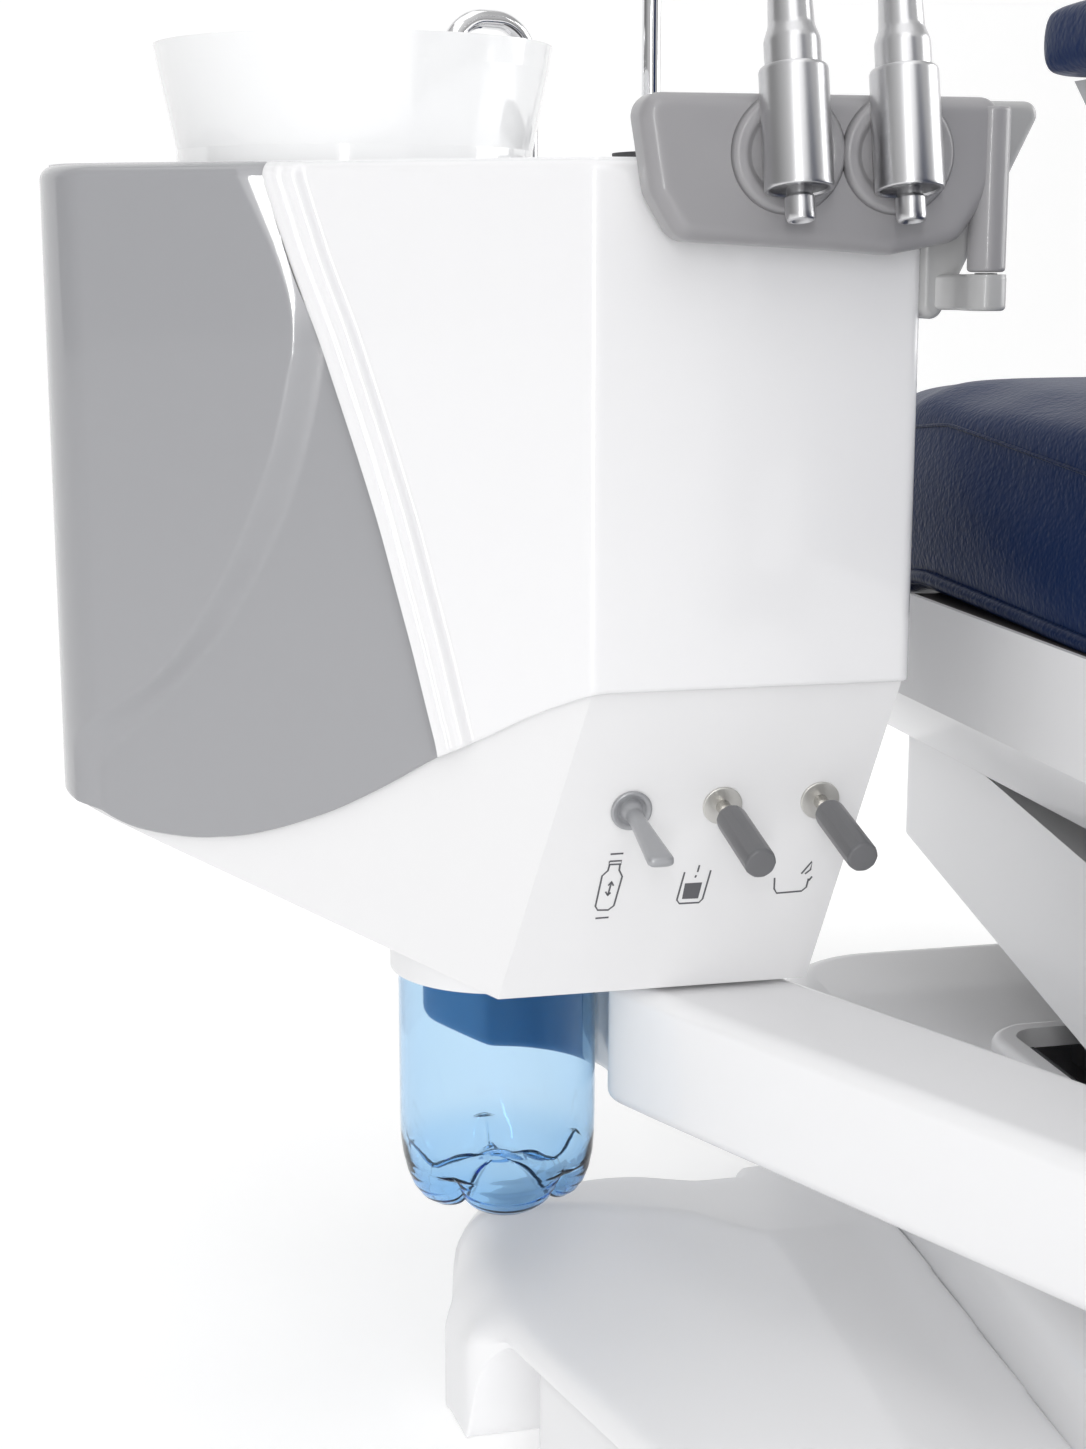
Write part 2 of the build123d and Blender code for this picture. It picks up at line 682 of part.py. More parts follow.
with BuildPart() as headrest_cushion:
    with BuildSketch(back_plane(head_front)):
        with Locations((0, (head_low + head_high) / 2)):
            RectangleRounded(2 * head_half, head_high - head_low, 45)
    extrude(amount=head_back - head_front)
save(headrest_cushion.part, "headrest_cushion")

# ---------------------------------------------------------------- armrests
rest_pivot = (-340.0, 650.0)
rest_pin_r = 8.0
post_thick, post_half = 12.0, 20.0
pad_half, pad_low, pad_high = 32.0, 664.0, 694.0
pad_near, pad_far = -302.0, -106.0


def strip(side, near, thick):
    """Lower x of a plate that starts at |x| = near on one side."""
    return side * near - (thick if side < 0 else 0)


with BuildPart() as armrest_posts:
    for side in (-1, 1):
        with BuildSketch(yz_plane(strip(side, yoke_half, post_thick))):
            with BuildLine():
                Polyline(
                    (hinge[0] - post_half, hinge[1] - 60), (hinge[0] + post_half, hinge[1] - 60),
                    (rest_pivot[0] + 16, rest_pivot[1]), (rest_pivot[0] - 16, rest_pivot[1]), close=True,
                )
            make_face()
            with Locations(rest_pivot):
                Circle(16)
        extrude(amount=post_thick)
        with BuildSketch(yz_plane(strip(side, yoke_half + post_thick, 24))):
            with Locations(rest_pivot):
                Circle(rest_pin_r)
        extrude(amount=24)
save(armrest_posts.part, "armrest_posts")

for side, name in ((-1, "left"), (1, "right")):
    with BuildPart() as rest_bar:
        with BuildSketch(yz_plane(strip(side, yoke_half + post_thick + 1, 22))):
            with BuildLine():
                Polyline(
                    (rest_pivot[0], rest_pivot[1] - 14), (pad_far - 30, pad_low - 16),
                    (pad_far - 12, pad_low), (pad_near, pad_low), (rest_pivot[0], rest_pivot[1] + 14),
                    close=True,
                )
            make_face()
            with Locations(rest_pivot):
                Circle(15)
                Circle(rest_pin_r + running_gap, mode=Mode.SUBTRACT)
        extrude(amount=22)
    save(rest_bar.part, f"armrest_bar_{name}")

    with BuildPart() as rest_pad:
        with BuildSketch(Plane.XY.offset(pad_low)):
            with Locations((side * (yoke_half + post_thick + 12), (pad_near + pad_far) / 2)):
                RectangleRounded(2 * pad_half, pad_far - pad_near, 26)
        extrude(amount=pad_high - pad_low)
    save(rest_pad.part, f"armrest_pad_{name}")

# ---------------------------------------------------------------- support arm of the water unit
arm_end = Vector(unit_right - 104, 149, 0)      # where the box arm passes the bottle
arm_reach = 165.0                           # its length beyond, under the unit
elbow = Vector(*elbow, 0)
box_wide, box_low, box_high, box_wall = 75.0, 182.0, 248.0, 5.0
post_r = 26.0
run = (elbow - arm_end).normalized()
across = Vector(run.Y, -run.X, 0)           # towards the bottle's side of the arm
box_long = (elbow - arm_end).length + box_wide / 2


def arm_plan(inset):
    """Plan corners of the box arm, inset all round."""
    half = box_wide / 2 - inset
    far, near = inset - arm_reach, box_long - inset
    spots = ((far, half), (near, half), (near, -half), (far, -half))
    return [arm_end + run * s + across * w for s, w in spots]


with BuildPart() as support_arm:
    with BuildSketch(Plane.XY.offset(box_low)) as arm_outside:
        with BuildLine():
            Polyline(*arm_plan(0), close=True)
        make_face()
        fillet(arm_outside.vertices(), 30)
    extrude(amount=box_high - box_low)
    fillet(support_arm.faces().filter_by(Axis.Z).edges(), 7)
    with BuildSketch(Plane.XY.offset(box_low + box_wall)) as arm_inside:
        with BuildLine():
            Polyline(*arm_plan(box_wall), close=True)
        make_face()
        fillet(arm_inside.vertices(), 25)
        with Locations((bottle_x, bottle_y)):
            Circle(bottle_sleeve_r + 3 + box_wall, mode=Mode.SUBTRACT)
    extrude(amount=box_high - box_low - 2 * box_wall, mode=Mode.SUBTRACT)
    # a hollow in the arm's side goes round the bottle
    with BuildSketch(Plane.XY.offset(box_low)):
        with Locations((bottle_x, bottle_y)):
            Circle(bottle_sleeve_r + 3)
    extrude(amount=box_high - box_low, mode=Mode.SUBTRACT)
    with BuildSketch(Plane.XY.offset(box_high - box_wall)):
        with Locations((elbow.X, elbow.Y)):
            Circle(post_r)
    extrude(amount=beam_low - box_high + box_wall)
save(support_arm.part, "support_arm")

# ---------------------------------------------------------------- water unit: shared shapes
corner = Vector(unit_corner, unit_front, 0)
side_way = Vector(-cos(radians(side_angle)), sin(radians(side_angle)), 0)
side_in = Vector(sin(radians(side_angle)), cos(radians(side_angle)), 0)
side_wall_plane = Plane(origin=corner, x_dir=side_way, z_dir=side_in)
nose = corner + side_way * side_run
nose_r = 40.0
seam_curve = [
    (0, seam_z), (28, 394), (57, 379), (74, 372), (102, 355), (127, 342), (153, 332), (174, 326),
    (200, 323), (221, 324), (238, 327), (256, 336), (300, 360),
]
flange_curve = [
    (157, 643), (149, 618), (142, 597), (130, 567), (121, 540), (112, 513), (102, 481), (94, 451),
    (86, 421), (80, 396), (74, 372),
]
rib_curve = [
    (141, 642), (129, 611), (117, 580), (105, 549), (93, 518), (83, 486), (74, 454), (68, 422),
    (63, 397), (58, 379),
]


def unit_plan(inset):
    """Plan corners of the water unit, inset all round; the nose is the third corner."""
    slant = inset * (1 - sin(radians(side_angle))) / cos(radians(side_angle))
    return [
        (unit_right - inset, unit_front + inset), (unit_corner + slant, unit_front + inset),
        tuple(nose + side_in * inset + Vector(inset * 0.6, 0, 0))[:2],
        (nose_back_x + inset, unit_back - inset), (unit_right - inset, unit_back - inset),
    ]


def unit_solid(inset, low, high, mode=Mode.ADD):
    """A solid block of the unit's plan between two heights, with a rounded nose."""
    with BuildSketch(Plane.XY.offset(low)) as plan:
        with BuildLine():
            Polyline(*unit_plan(inset), close=True)
        make_face()
        fillet(plan.vertices().sort_by(Axis.X)[:1], nose_r - inset)
        fillet(plan.vertices().sort_by(Axis.Y)[:2].sort_by(Axis.X)[:1], 10 - inset)
        fillet(plan.vertices().sort_by(Axis.Y)[-2:], 26 - inset)
    extrude(plan.sketch, amount=high - low, mode=mode)


def side_region(points, start, deep, mode=Mode.ADD):
    """A region drawn on the slanting side wall, as (along, z), pushed inwards from start."""
    with BuildSketch(side_wall_plane.offset(start)) as area:
        with BuildLine():
            Polyline(*points, close=True)
        make_face()
    extrude(area.sketch, amount=deep, mode=mode)


below_seam = [(-260, seam_z), *seam_curve, (420, 360), (420, 200), (-260, 200)]
grey_side = [*flange_curve, (74, 300), (420, 300), (420, 660), (162, 660)]
rib_band = [*flange_curve, *reversed(rib_curve)]
shield = [
    (225, 640), (170, 640), (160, 622), (149, 600), (142, 578), (141, 560), (146, 537), (152, 512),
    (162, 486), (175, 457), (192, 430), (208, 408), (225, 394),
]

# ---------------------------------------------------------------- water unit: casing
with BuildPart() as unit_front_cover:
    unit_solid(0, 300, deck_z)
    unit_solid(casing_wall, 299, deck_z + 1, Mode.SUBTRACT)
    side_region(below_seam, -200, 700, Mode.SUBTRACT)
    side_region(grey_side, -50, 700, Mode.SUBTRACT)
    side_region([(along - 1, z) for along, z in rib_band if z < 641], -3.5, 3.5)
save(unit_front_cover.part, "unit_front_cover")

with BuildPart() as unit_side_panel:
    unit_solid(0, 300, deck_z)
    unit_solid(casing_wall, 299, deck_z + 1, Mode.SUBTRACT)
    side_region(below_seam, -200, 700, Mode.SUBTRACT)
    with BuildPart(mode=Mode.PRIVATE) as panel_zone:
        side_region(grey_side, -50, 700)
    add(panel_zone, mode=Mode.INTERSECT)
    side_region(shield, -4, 4)
save(unit_side_panel.part, "unit_side_panel")

# ---------------------------------------------------------------- water unit: lower hull
hull_front_out = Vector(0, -cos(radians(face_tilt)), -sin(radians(face_tilt)))
hull_front_at = Vector(0, unit_front + casing_wall, seam_z)
hull_side_out = Vector(-0.470, -0.883, -0.085).normalized()
hull_side_at = corner + side_in * casing_wall + Vector(0, 0, seam_z)
hull_top = seam_z + 6
flange_at, flange_r = (unit_right - 92.0, 124.0), 22.0
hull_gap = 0.1                              # between the hull and the casing's inside


def hull_block(inset):
    """The hull's outer form, or with an inset the hollow inside it, as a stand-alone part."""
    with BuildPart(mode=Mode.PRIVATE) as block:
        unit_solid(casing_wall + hull_gap + inset, hull_floor, hull_top + (1 if inset else 0))
        with BuildSketch(Plane.XZ.offset(-unit_back - 5)) as profile:
            with BuildLine():
                Polyline(
                    (unit_right, seam_z + 20), (unit_right - casing_wall - inset, seam_z),
                    (unit_right - 35 - inset, hull_floor + inset),
                    (unit_right - 191 + inset * 0.3, hull_floor + inset),
                    (unit_right - 398, hull_floor + 92 + inset), (unit_right - 418, seam_z + 20),
                    close=True,
                )
            make_face()
        extrude(profile.sketch, amount=unit_back, mode=Mode.INTERSECT)
        front_plane = Plane(origin=hull_front_at - hull_front_out * inset, z_dir=hull_front_out)
        split(bisect_by=front_plane, keep=Keep.BOTTOM)
        side_plane = Plane(origin=hull_side_at - hull_side_out * inset, z_dir=hull_side_out)
        split(bisect_by=side_plane, keep=Keep.BOTTOM)
    return block.part


valve_face_y = unit_front + casing_wall + (seam_z - valve_z) * sin(radians(face_tilt)) / cos(
    radians(face_tilt))


def valve_plane(x, out=0.0):
    """Plane on the tilted valve face at x, its normal pointing out of the unit."""
    spot = Vector(x, valve_face_y, valve_z) + hull_front_out * out
    return Plane(origin=spot, x_dir=(1, 0, 0), z_dir=hull_front_out)


def disc_at(x, out, r, long, mode=Mode.ADD):
    """A round disc or bore on the valve face, starting at a height above it."""
    with BuildSketch(valve_plane(x, out)) as ring:
        Circle(r)
    extrude(ring.sketch, amount=long, mode=mode)


stem_r, ball_r = 3.6, 6.0
with BuildPart() as unit_hull:
    add(hull_block(0))
    bottom_edges = unit_hull.faces().sort_by(Axis.Z)[0].edges()
    fillet(bottom_edges, 10)
    add(hull_block(hull_wall), mode=Mode.SUBTRACT)
    with BuildSketch(Plane.XY.offset(hull_floor - 5)):
        with Locations((bottle_x, bottle_y)):
            Circle(bottle_sleeve_r)
        with Locations(flange_at):
            Circle(flange_r + running_gap)
    extrude(amount=60, mode=Mode.SUBTRACT)
    for x in valve_x:
        disc_at(x, -12, stem_r + running_gap if x != valve_x[0] else ball_r + 0.6, 20, Mode.SUBTRACT)
save(unit_hull.part, "unit_hull")

# The bottle's guide sleeve is pressed into the hull's floor.
with BuildPart() as bottle_sleeve:
    with BuildSketch(Plane.XY.offset(hull_floor)):
        with Locations((bottle_x, bottle_y)):
            Circle(bottle_sleeve_r - running_gap)
            Circle(bottle_sleeve_r - 2.5, mode=Mode.SUBTRACT)
    extrude(amount=42)
save(bottle_sleeve.part, "bottle_sleeve")

# ---------------------------------------------------------------- water unit: inside frame
chassis_z = hull_floor + hull_wall
chassis_thick = 6.0
deck_thick = 8.0
columns = ((unit_right - 62, unit_back - 24), (unit_right - 160, unit_back - 24))
column_half = 11.0
chassis_plan = [(53, 112), (53, 318), (172, 318), (172, 214), (122, 190), (122, 112)]
socket_at, socket_r, socket_wall = (unit_right - 34, unit_back - 34), 20.0, 4.0
socket_low, socket_top = 440.0, deck_z + 10.0
with BuildPart() as unit_chassis:
    with BuildSketch(Plane.XY.offset(box_high)):
        with Locations(flange_at):
            Circle(flange_r)
    extrude(amount=chassis_z + chassis_thick - box_high)
    with BuildSketch(Plane.XY.offset(chassis_z)):
        with BuildLine():
            Polyline(*[(unit_right - left, y) for left, y in chassis_plan], close=True)
        make_face()
    extrude(amount=chassis_thick)
    for x, y in columns:
        box_between((x - column_half, y - column_half, chassis_z + chassis_thick - 1),
                    (x + column_half, y + column_half, deck_z - deck_thick))
    # the socket for a lamp post stands through the deck, carried by the first column
    with BuildSketch(Plane.XY.offset(socket_low)):
        with Locations(socket_at):
            Circle(socket_r + socket_wall)
    extrude(amount=socket_top - socket_low)
    with BuildSketch(Plane.XY.offset(socket_low + 20)):
        with Locations(socket_at):
            Circle(socket_r)
    extrude(amount=socket_top - socket_low, mode=Mode.SUBTRACT)
save(unit_chassis.part, "unit_chassis")

# the cup filler and the bowl rinse
spout_spots = ((unit_right - 70, unit_back - 68), (unit_right - 130, unit_back - 42))
bowl_seat_r = 83.0
with BuildPart() as unit_deck:
    unit_solid(casing_wall, deck_z - deck_thick, deck_z)
    with BuildSketch(Plane.XY.offset(deck_z - deck_thick)):
        with Locations((bowl_x, bowl_y)):
            Circle(bowl_seat_r)
        with Locations(*spout_spots):
            Circle(7)
        with Locations(socket_at):
            Circle(socket_r + socket_wall)
    extrude(amount=deck_thick, mode=Mode.SUBTRACT)
save(unit_deck.part, "unit_deck")


def turned_part(name, x, y, points):
    """A round part about the vertical line through (x, y), from (radius, z) points."""
    with BuildPart() as body:
        with BuildSketch(Plane(origin=(x, y, 0), x_dir=(1, 0, 0), z_dir=(0, -1, 0))) as profile:
            with BuildLine():
                Polyline(*points, close=True)
            make_face()
        revolve(profile.sketch, axis=Axis((x, y, 0), (0, 0, 1)))
    save(body.part, name)
    return body.part


bowl_floor = 620.0
turned_part("bowl", bowl_x, bowl_y, [
    (94, bowl_rim_z), (bowl_r, bowl_rim_z), (bowl_r - 2, bowl_rim_z - 12), (88, 650),
    (88, deck_z), (bowl_seat_r - 0.5, deck_z), (80, 634), (48, bowl_floor - 4),
    (22, bowl_floor - 8), (11, bowl_floor - 8), (8, bowl_floor - 8), (8, bowl_floor),
    (20, bowl_floor), (46, bowl_floor + 5), (75, 640), (83, 655),
])
with BuildPart() as bowl_strainer:
    with BuildSketch(Plane.XY.offset(bowl_floor)):
        with Locations((bowl_x, bowl_y)):
            Circle(14)
            with PolarLocations(8.5, 8):
                Circle(1.8, mode=Mode.SUBTRACT)
    extrude(amount=2.5)
save(bowl_strainer.part, "bowl_strainer")

trap_top, trap_low = 390.0, 320.0
turned_part("bowl_drain", bowl_x, bowl_y, [
    (8, bowl_floor - 8), (11, bowl_floor - 8), (11, trap_top), (30, trap_top), (30, trap_low),
    (0, trap_low), (0, trap_low + 4), (26, trap_low + 4), (26, trap_top - 4), (8, trap_top - 4),
])


def spout(name, spot, rise, reach, drop, heading, r):
    """A bent water pipe: up from the deck, over, and down again."""
    base = Vector(*spot, deck_z - deck_thick)
    way = Vector(cos(radians(heading)), sin(radians(heading)), 0)
    top = base + Vector(0, 0, rise)
    bend = 22.0
    with BuildPart() as pipe:
        with BuildLine() as path:
            Line(base, top)
            ThreePointArc(
                top, top + way * (bend * 0.2929) + Vector(0, 0, bend * 0.7071),
                top + way * bend + Vector(0, 0, bend),
            )
            Line(top + way * bend + Vector(0, 0, bend), top + way * (reach - bend) + Vector(0, 0, bend))
            ThreePointArc(
                top + way * (reach - bend) + Vector(0, 0, bend),
                top + way * (reach - bend * 0.2929) + Vector(0, 0, bend * 0.7071),
                top + way * reach,
            )
            Line(top + way * reach, top + way * reach - Vector(0, 0, drop))
        with BuildSketch(Plane(origin=base, z_dir=(0, 0, 1))) as bore:
            Circle(r)
        sweep(bore.sketch, path=path.line)
        with BuildSketch(Plane.XY.offset(deck_z)) as collar:
            with Locations(spot):
                Circle(13)
        extrude(collar.sketch, amount=6)
    save(pipe.part, name)


spout("cup_spout", spout_spots[0], 118, 62, 12, -90, 5.0)
spout("bowl_spout", spout_spots[1], 64, 52, 6, 205, 5.0)

cup_pad_at = (spout_spots[0][0], spout_spots[0][1] - 62)
turned_part("cup_pad", *cup_pad_at, [
    (0, deck_z), (34, deck_z), (36, deck_z + 3), (36, deck_z + 8), (32, deck_z + 8),
    (30, deck_z + 4), (0, deck_z + 4),
])

# ---------------------------------------------------------------- clean-water bottle
neck_r, neck_top, cap_low = 14.0, 380.0, 362.0
with BuildPart() as bottle_manifold:
    with BuildSketch(Plane.XY.offset(cap_low)):
        with Locations((bottle_x, bottle_y)):
            Circle(20)
            Circle(neck_r + 0.6, mode=Mode.SUBTRACT)
    extrude(amount=neck_top + 4 - cap_low)
    with BuildSketch(Plane.XY.offset(neck_top + 4)):
        with Locations((bottle_x, bottle_y)):
            Circle(20)
    extrude(amount=10)
    bar_x = columns[1][0]
    box_between((bar_x - 9, bottle_y, neck_top + 4), (bar_x + 9, columns[1][1] - column_half, neck_top + 14))
save(bottle_manifold.part, "bottle_manifold")

with BuildPart() as bottle:
    with BuildSketch(Plane(origin=(bottle_x, bottle_y, 0), x_dir=(1, 0, 0), z_dir=(0, -1, 0))) as half:
        with BuildLine():
            Polyline(
                (0, bottle_low + 8), (14, bottle_low), (32, bottle_low), (44, bottle_low + 12),
                (bottle_r, bottle_low + 34), (bottle_r, bottle_shoulder), (44, bottle_shoulder + 18),
                (26, bottle_shoulder + 40), (neck_r, bottle_shoulder + 48),
                (neck_r, neck_top), (neck_r - 2, neck_top), (neck_r - 2, bottle_shoulder + 47),
                (24, bottle_shoulder + 38),
                (42, bottle_shoulder + 16), (bottle_r - 2, bottle_shoulder - 1),
                (bottle_r - 2, bottle_low + 35),
                (42, bottle_low + 14), (31, bottle_low + 2), (0, bottle_low + 10), close=True,
            )
        make_face()
    revolve(half.sketch, axis=Axis((bottle_x, bottle_y, 0), (0, 0, 1)))
save(bottle.part, "bottle")

# ---------------------------------------------------------------- water valves
with BuildPart() as valve_bodies:
    for x in valve_x:
        bore = stem_r + running_gap if x != valve_x[0] else ball_r + 0.6
        with BuildSketch(valve_plane(x, -hull_wall)) as body:
            Circle(13)
            Circle(bore, mode=Mode.SUBTRACT)
        extrude(body.sketch, amount=-9)
        disc_at(x, -hull_wall - 9, 13, -20)
save(valve_bodies.part, "valve_bodies")

disc_thick = 1.5
with BuildPart() as knob_discs:
    for x in valve_x[1:]:
        with BuildSketch(valve_plane(x)) as disc:
            Circle(disc_r)
            Circle(stem_r + running_gap, mode=Mode.SUBTRACT)
        extrude(disc.sketch, amount=disc_thick)
save(knob_discs.part, "knob_discs")

with BuildPart() as lever_disc:
    with BuildSketch(valve_plane(valve_x[0])) as disc:
        Circle(disc_r)
        Circle(ball_r + 0.6, mode=Mode.SUBTRACT)
    extrude(disc.sketch, amount=disc_thick)
save(lever_disc.part, "lever_disc")

knob_start, knob_end, knob_r = 13.0, 61.0, 7.3
for x, name in ((valve_x[1], "cup_knob"), (valve_x[2], "bowl_knob")):
    with BuildPart() as knob:
        with BuildSketch(valve_plane(x, knob_start)) as grip:
            RegularPolygon(knob_r, 8)
        extrude(grip.sketch, amount=knob_end - knob_start)
        chamfer(knob.faces().sort_by(Axis((0, 0, 0), hull_front_out))[-1].edges(), 1)
    save(knob.part, name)
    with BuildPart() as stem:
        disc_at(x, -9.0, stem_r, knob_start + 9.0)
    save(stem.part, name + "_stem")

lever_ball_out, lever_end = 1.5, 57.0
with BuildPart() as bottle_lever:
    with Locations(Vector(valve_x[0], valve_face_y, valve_z) + hull_front_out * lever_ball_out):
        Sphere(ball_r)
    with BuildSketch(valve_plane(valve_x[0], lever_ball_out)) as root:
        Circle(4)
    with BuildSketch(valve_plane(valve_x[0], 22)) as middle:
        Ellipse(4.6, 3.6)
    with BuildSketch(valve_plane(valve_x[0], lever_end)) as tip:
        Ellipse(6.4, 3.4)
    loft([root.sketch, middle.sketch, tip.sketch])
save(bottle_lever.part, "bottle_lever")

# ---------------------------------------------------------------- assistant's holder
swing = (unit_right + 21.0, unit_front - 20.0)      # plan position of the holder's swing pin
tray_back, tray_deep = 45.0, 22.0
boss_r, boss_low, boss_high = 12.0, 592.0, 640.0
with BuildPart() as holder_bracket:
    with BuildSketch(Plane.XY.offset(boss_low - 8)):
        with Locations(swing):
            Circle(boss_r)
    extrude(amount=8)
    with BuildSketch(Plane.XY.offset(boss_low - 8)):
        with Locations(swing):
            Circle(5)
    extrude(amount=boss_high - boss_low + 12)
    box_between((unit_right, 60, boss_low - 30), (unit_right + 6, 110, boss_high))
    box_between((unit_right, 56, boss_low - 30), (swing[0] + 6, 66, boss_low))
    box_between((swing[0] - 6, swing[1], boss_low - 8), (swing[0] + 6, 66, boss_low))
save(holder_bracket.part, "holder_bracket")

lean_in = radians(holder_lean)
cup_up = Vector(0, sin(lean_in), cos(lean_in))


def cup_plane(x, up=0.0):
    """Plane across a holder cup, its normal running up the cup."""
    return Plane(origin=Vector(x, holder_y, holder_z) + cup_up * up, x_dir=(1, 0, 0), z_dir=cup_up)


with BuildPart() as holder_tray:
    with BuildSketch(Plane.XZ.offset(-tray_back)) as tray_face:
        with BuildLine():
            Polyline(
                (swing[0] - 163, boss_high + 28), (swing[0] - 159, boss_high - 8),
                (swing[0] - 148, boss_low + 19), (swing[0] - 53, boss_low + 12),
                (swing[0] - 31, boss_low + 4), (swing[0] - 19, boss_low + 0.4),
                (swing[0] + 10, boss_low + 0.4), (swing[0] + 10, boss_high + 28), close=True,
            )
        make_face()
    extrude(tray_face.sketch, amount=tray_deep)
    with BuildSketch(Plane.XY.offset(boss_low + 0.4)):
        with Locations(swing):
            Circle(boss_r)
    extrude(amount=boss_high - boss_low)
    with BuildSketch(Plane.XY.offset(boss_low)):
        with Locations(swing):
            Circle(5 + running_gap)
    extrude(amount=100, mode=Mode.SUBTRACT)
    for x in holder_x:
        with BuildSketch(cup_plane(x, -20)) as nest:
            Circle(holder_r)
        extrude(nest.sketch, amount=120, mode=Mode.SUBTRACT)
save(holder_tray.part, "holder_tray")

for x, name in ((holder_x[0], "outer"), (holder_x[1], "inner")):
    with BuildPart() as cup:
        with BuildSketch(cup_plane(x)) as ring:
            Circle(holder_r)
            Circle(holder_r - holder_wall, mode=Mode.SUBTRACT)
        extrude(ring.sketch, amount=holder_long)
    save(cup.part, f"holder_cup_{name}")

    # The suction handpiece: a ported tail below the cup, a sleeve in it and a tube above.
    with BuildPart() as handpiece:
        with BuildSketch(Plane(origin=Vector(x, holder_y, holder_z), x_dir=(1, 0, 0),
                               z_dir=(0, -cos(lean_in), sin(lean_in)))) as section:
            with BuildLine():
                Polyline(
                    (4, -11), (5.6, -11), (6.5, -9), (6.5, 8), (11.6, 14), (12.2, 20), (12.2, 64),
                    (9.5, 90), (8.5, 118), (6, 124), (6, 165), (4, 165), close=True,
                )
            make_face()
        revolve(section.sketch, axis=Axis(Vector(x, holder_y, holder_z), cup_up))
    save(handpiece.part, f"suction_handpiece_{name}")
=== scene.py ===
import math

import bmesh
import bpy
import numpy as np
from mathutils import Matrix, Vector
from mathutils.bvhtree import BVHTree


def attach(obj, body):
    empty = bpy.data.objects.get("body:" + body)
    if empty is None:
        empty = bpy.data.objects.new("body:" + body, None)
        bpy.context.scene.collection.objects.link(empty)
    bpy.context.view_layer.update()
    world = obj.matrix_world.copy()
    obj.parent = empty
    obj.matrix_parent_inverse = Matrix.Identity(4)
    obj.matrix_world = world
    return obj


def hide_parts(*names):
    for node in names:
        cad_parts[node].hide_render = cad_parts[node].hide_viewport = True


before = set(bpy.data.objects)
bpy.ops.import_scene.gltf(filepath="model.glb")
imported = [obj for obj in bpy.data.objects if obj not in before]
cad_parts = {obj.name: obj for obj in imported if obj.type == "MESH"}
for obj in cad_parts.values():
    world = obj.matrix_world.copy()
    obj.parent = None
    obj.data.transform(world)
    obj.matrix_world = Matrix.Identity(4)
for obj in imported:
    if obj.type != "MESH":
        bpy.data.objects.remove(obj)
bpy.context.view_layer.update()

# ---------------------------------------------------------------- studio
# The chair stands on a pale floor that curves up behind it. Broad soft lamps hang on both sides
# and overhead, and the camera looks at the water unit from the patient's left.
def set_sockets(node, **values):
    """Set constants on a shader node's input sockets, an underscore standing for a space."""
    for key, value in values.items():
        node.inputs[key.replace("_", " ")].default_value = value
    return node


def plain_material(name, colour, roughness, metallic=0.0):
    """A Principled material with constant colour, roughness and metallic values."""
    m = bpy.data.materials.new(name)
    m.use_nodes = True
    set_sockets(m.node_tree.nodes["Principled BSDF"], Base_Color=(*colour, 1), Roughness=roughness,
                Metallic=metallic)
    return m


def grid_mesh(name, points, close_u=False, close_v=False, cap_low=False, cap_high=False):
    """Mesh of a (rows, columns, 3) array of points: a quad joins each four neighbours, columns
    wrap when close_u, rows wrap when close_v, and a cap is a fan to the row's mean point."""
    rows, cols = points.shape[:2]
    index = np.arange(rows * cols).reshape(rows, cols)
    if close_u:
        index = np.hstack([index, index[:, :1]])
    if close_v:
        index = np.vstack([index, index[:1]])
    quads = np.stack([index[:-1, :-1], index[:-1, 1:], index[1:, 1:], index[1:, :-1]], -1)
    faces = quads.reshape(-1, 4).tolist()
    coords = points.reshape(-1, 3)
    for wanted, row, flip in ((cap_low, index[0], True), (cap_high, index[-1], False)):
        if wanted:
            hub = len(coords)
            coords = np.vstack([coords, points.reshape(-1, 3)[row].mean(0)])
            ring = np.stack([row[:-1], row[1:], np.full(len(row) - 1, hub)], -1)
            faces += (ring[:, ::-1] if flip else ring).tolist()
    mesh = bpy.data.meshes.new(name)
    mesh.from_pydata(coords, [], faces)
    mesh.shade_smooth()
    mesh.update()
    return mesh


def soft_lamp(name, place, aim, wide, high, watts):
    """A rectangular white area lamp at place, turned towards aim."""
    data = bpy.data.lights.new(name, "AREA")
    data.shape = "RECTANGLE"
    data.size, data.size_y = wide, high
    data.energy = watts
    lamp = bpy.data.objects.new(name, data)
    bpy.context.scene.collection.objects.link(lamp)
    lamp.location = place
    lamp.rotation_euler = (Vector(aim) - Vector(place)).to_track_quat("-Z", "Y").to_euler()


# the floor runs level to y = 5 m, bends up through a quarter circle of 2 m, and climbs to 9 m
bend = np.linspace(0.1, 1.57, 12)
floor_along = np.concatenate([np.linspace(-12, 5, 6), 5 + 2 * np.sin(bend), [7.0]])
floor_up = np.concatenate([np.zeros(6), 2 - 2 * np.cos(bend), [9.0]])
floor_points = np.stack(np.broadcast_arrays(np.linspace(-14, 14, 3), floor_along[:, None],
                                            floor_up[:, None]), -1)
floor = bpy.data.objects.new("studio_floor", grid_mesh("studio_floor", floor_points))
paper = plain_material("studio_paper", (0.80, 0.80, 0.80), 0.9)
set_sockets(paper.node_tree.nodes["Principled BSDF"], Emission_Color=(1, 1, 1, 1), Emission_Strength=0.31)
floor.data.materials.append(paper)
bpy.context.scene.collection.objects.link(floor)

camera_data = bpy.data.cameras.new("camera")
camera_data.lens = 57.47
camera_data.sensor_width = 36
camera_data.clip_start = 0.05
camera = bpy.data.objects.new("camera", camera_data)
bpy.context.scene.collection.objects.link(camera)
camera.location = (-0.710, -0.950, 0.600)
camera.rotation_euler = (math.radians(90 - 11.474), 0, math.radians(-13.0))
bpy.context.scene.camera = camera

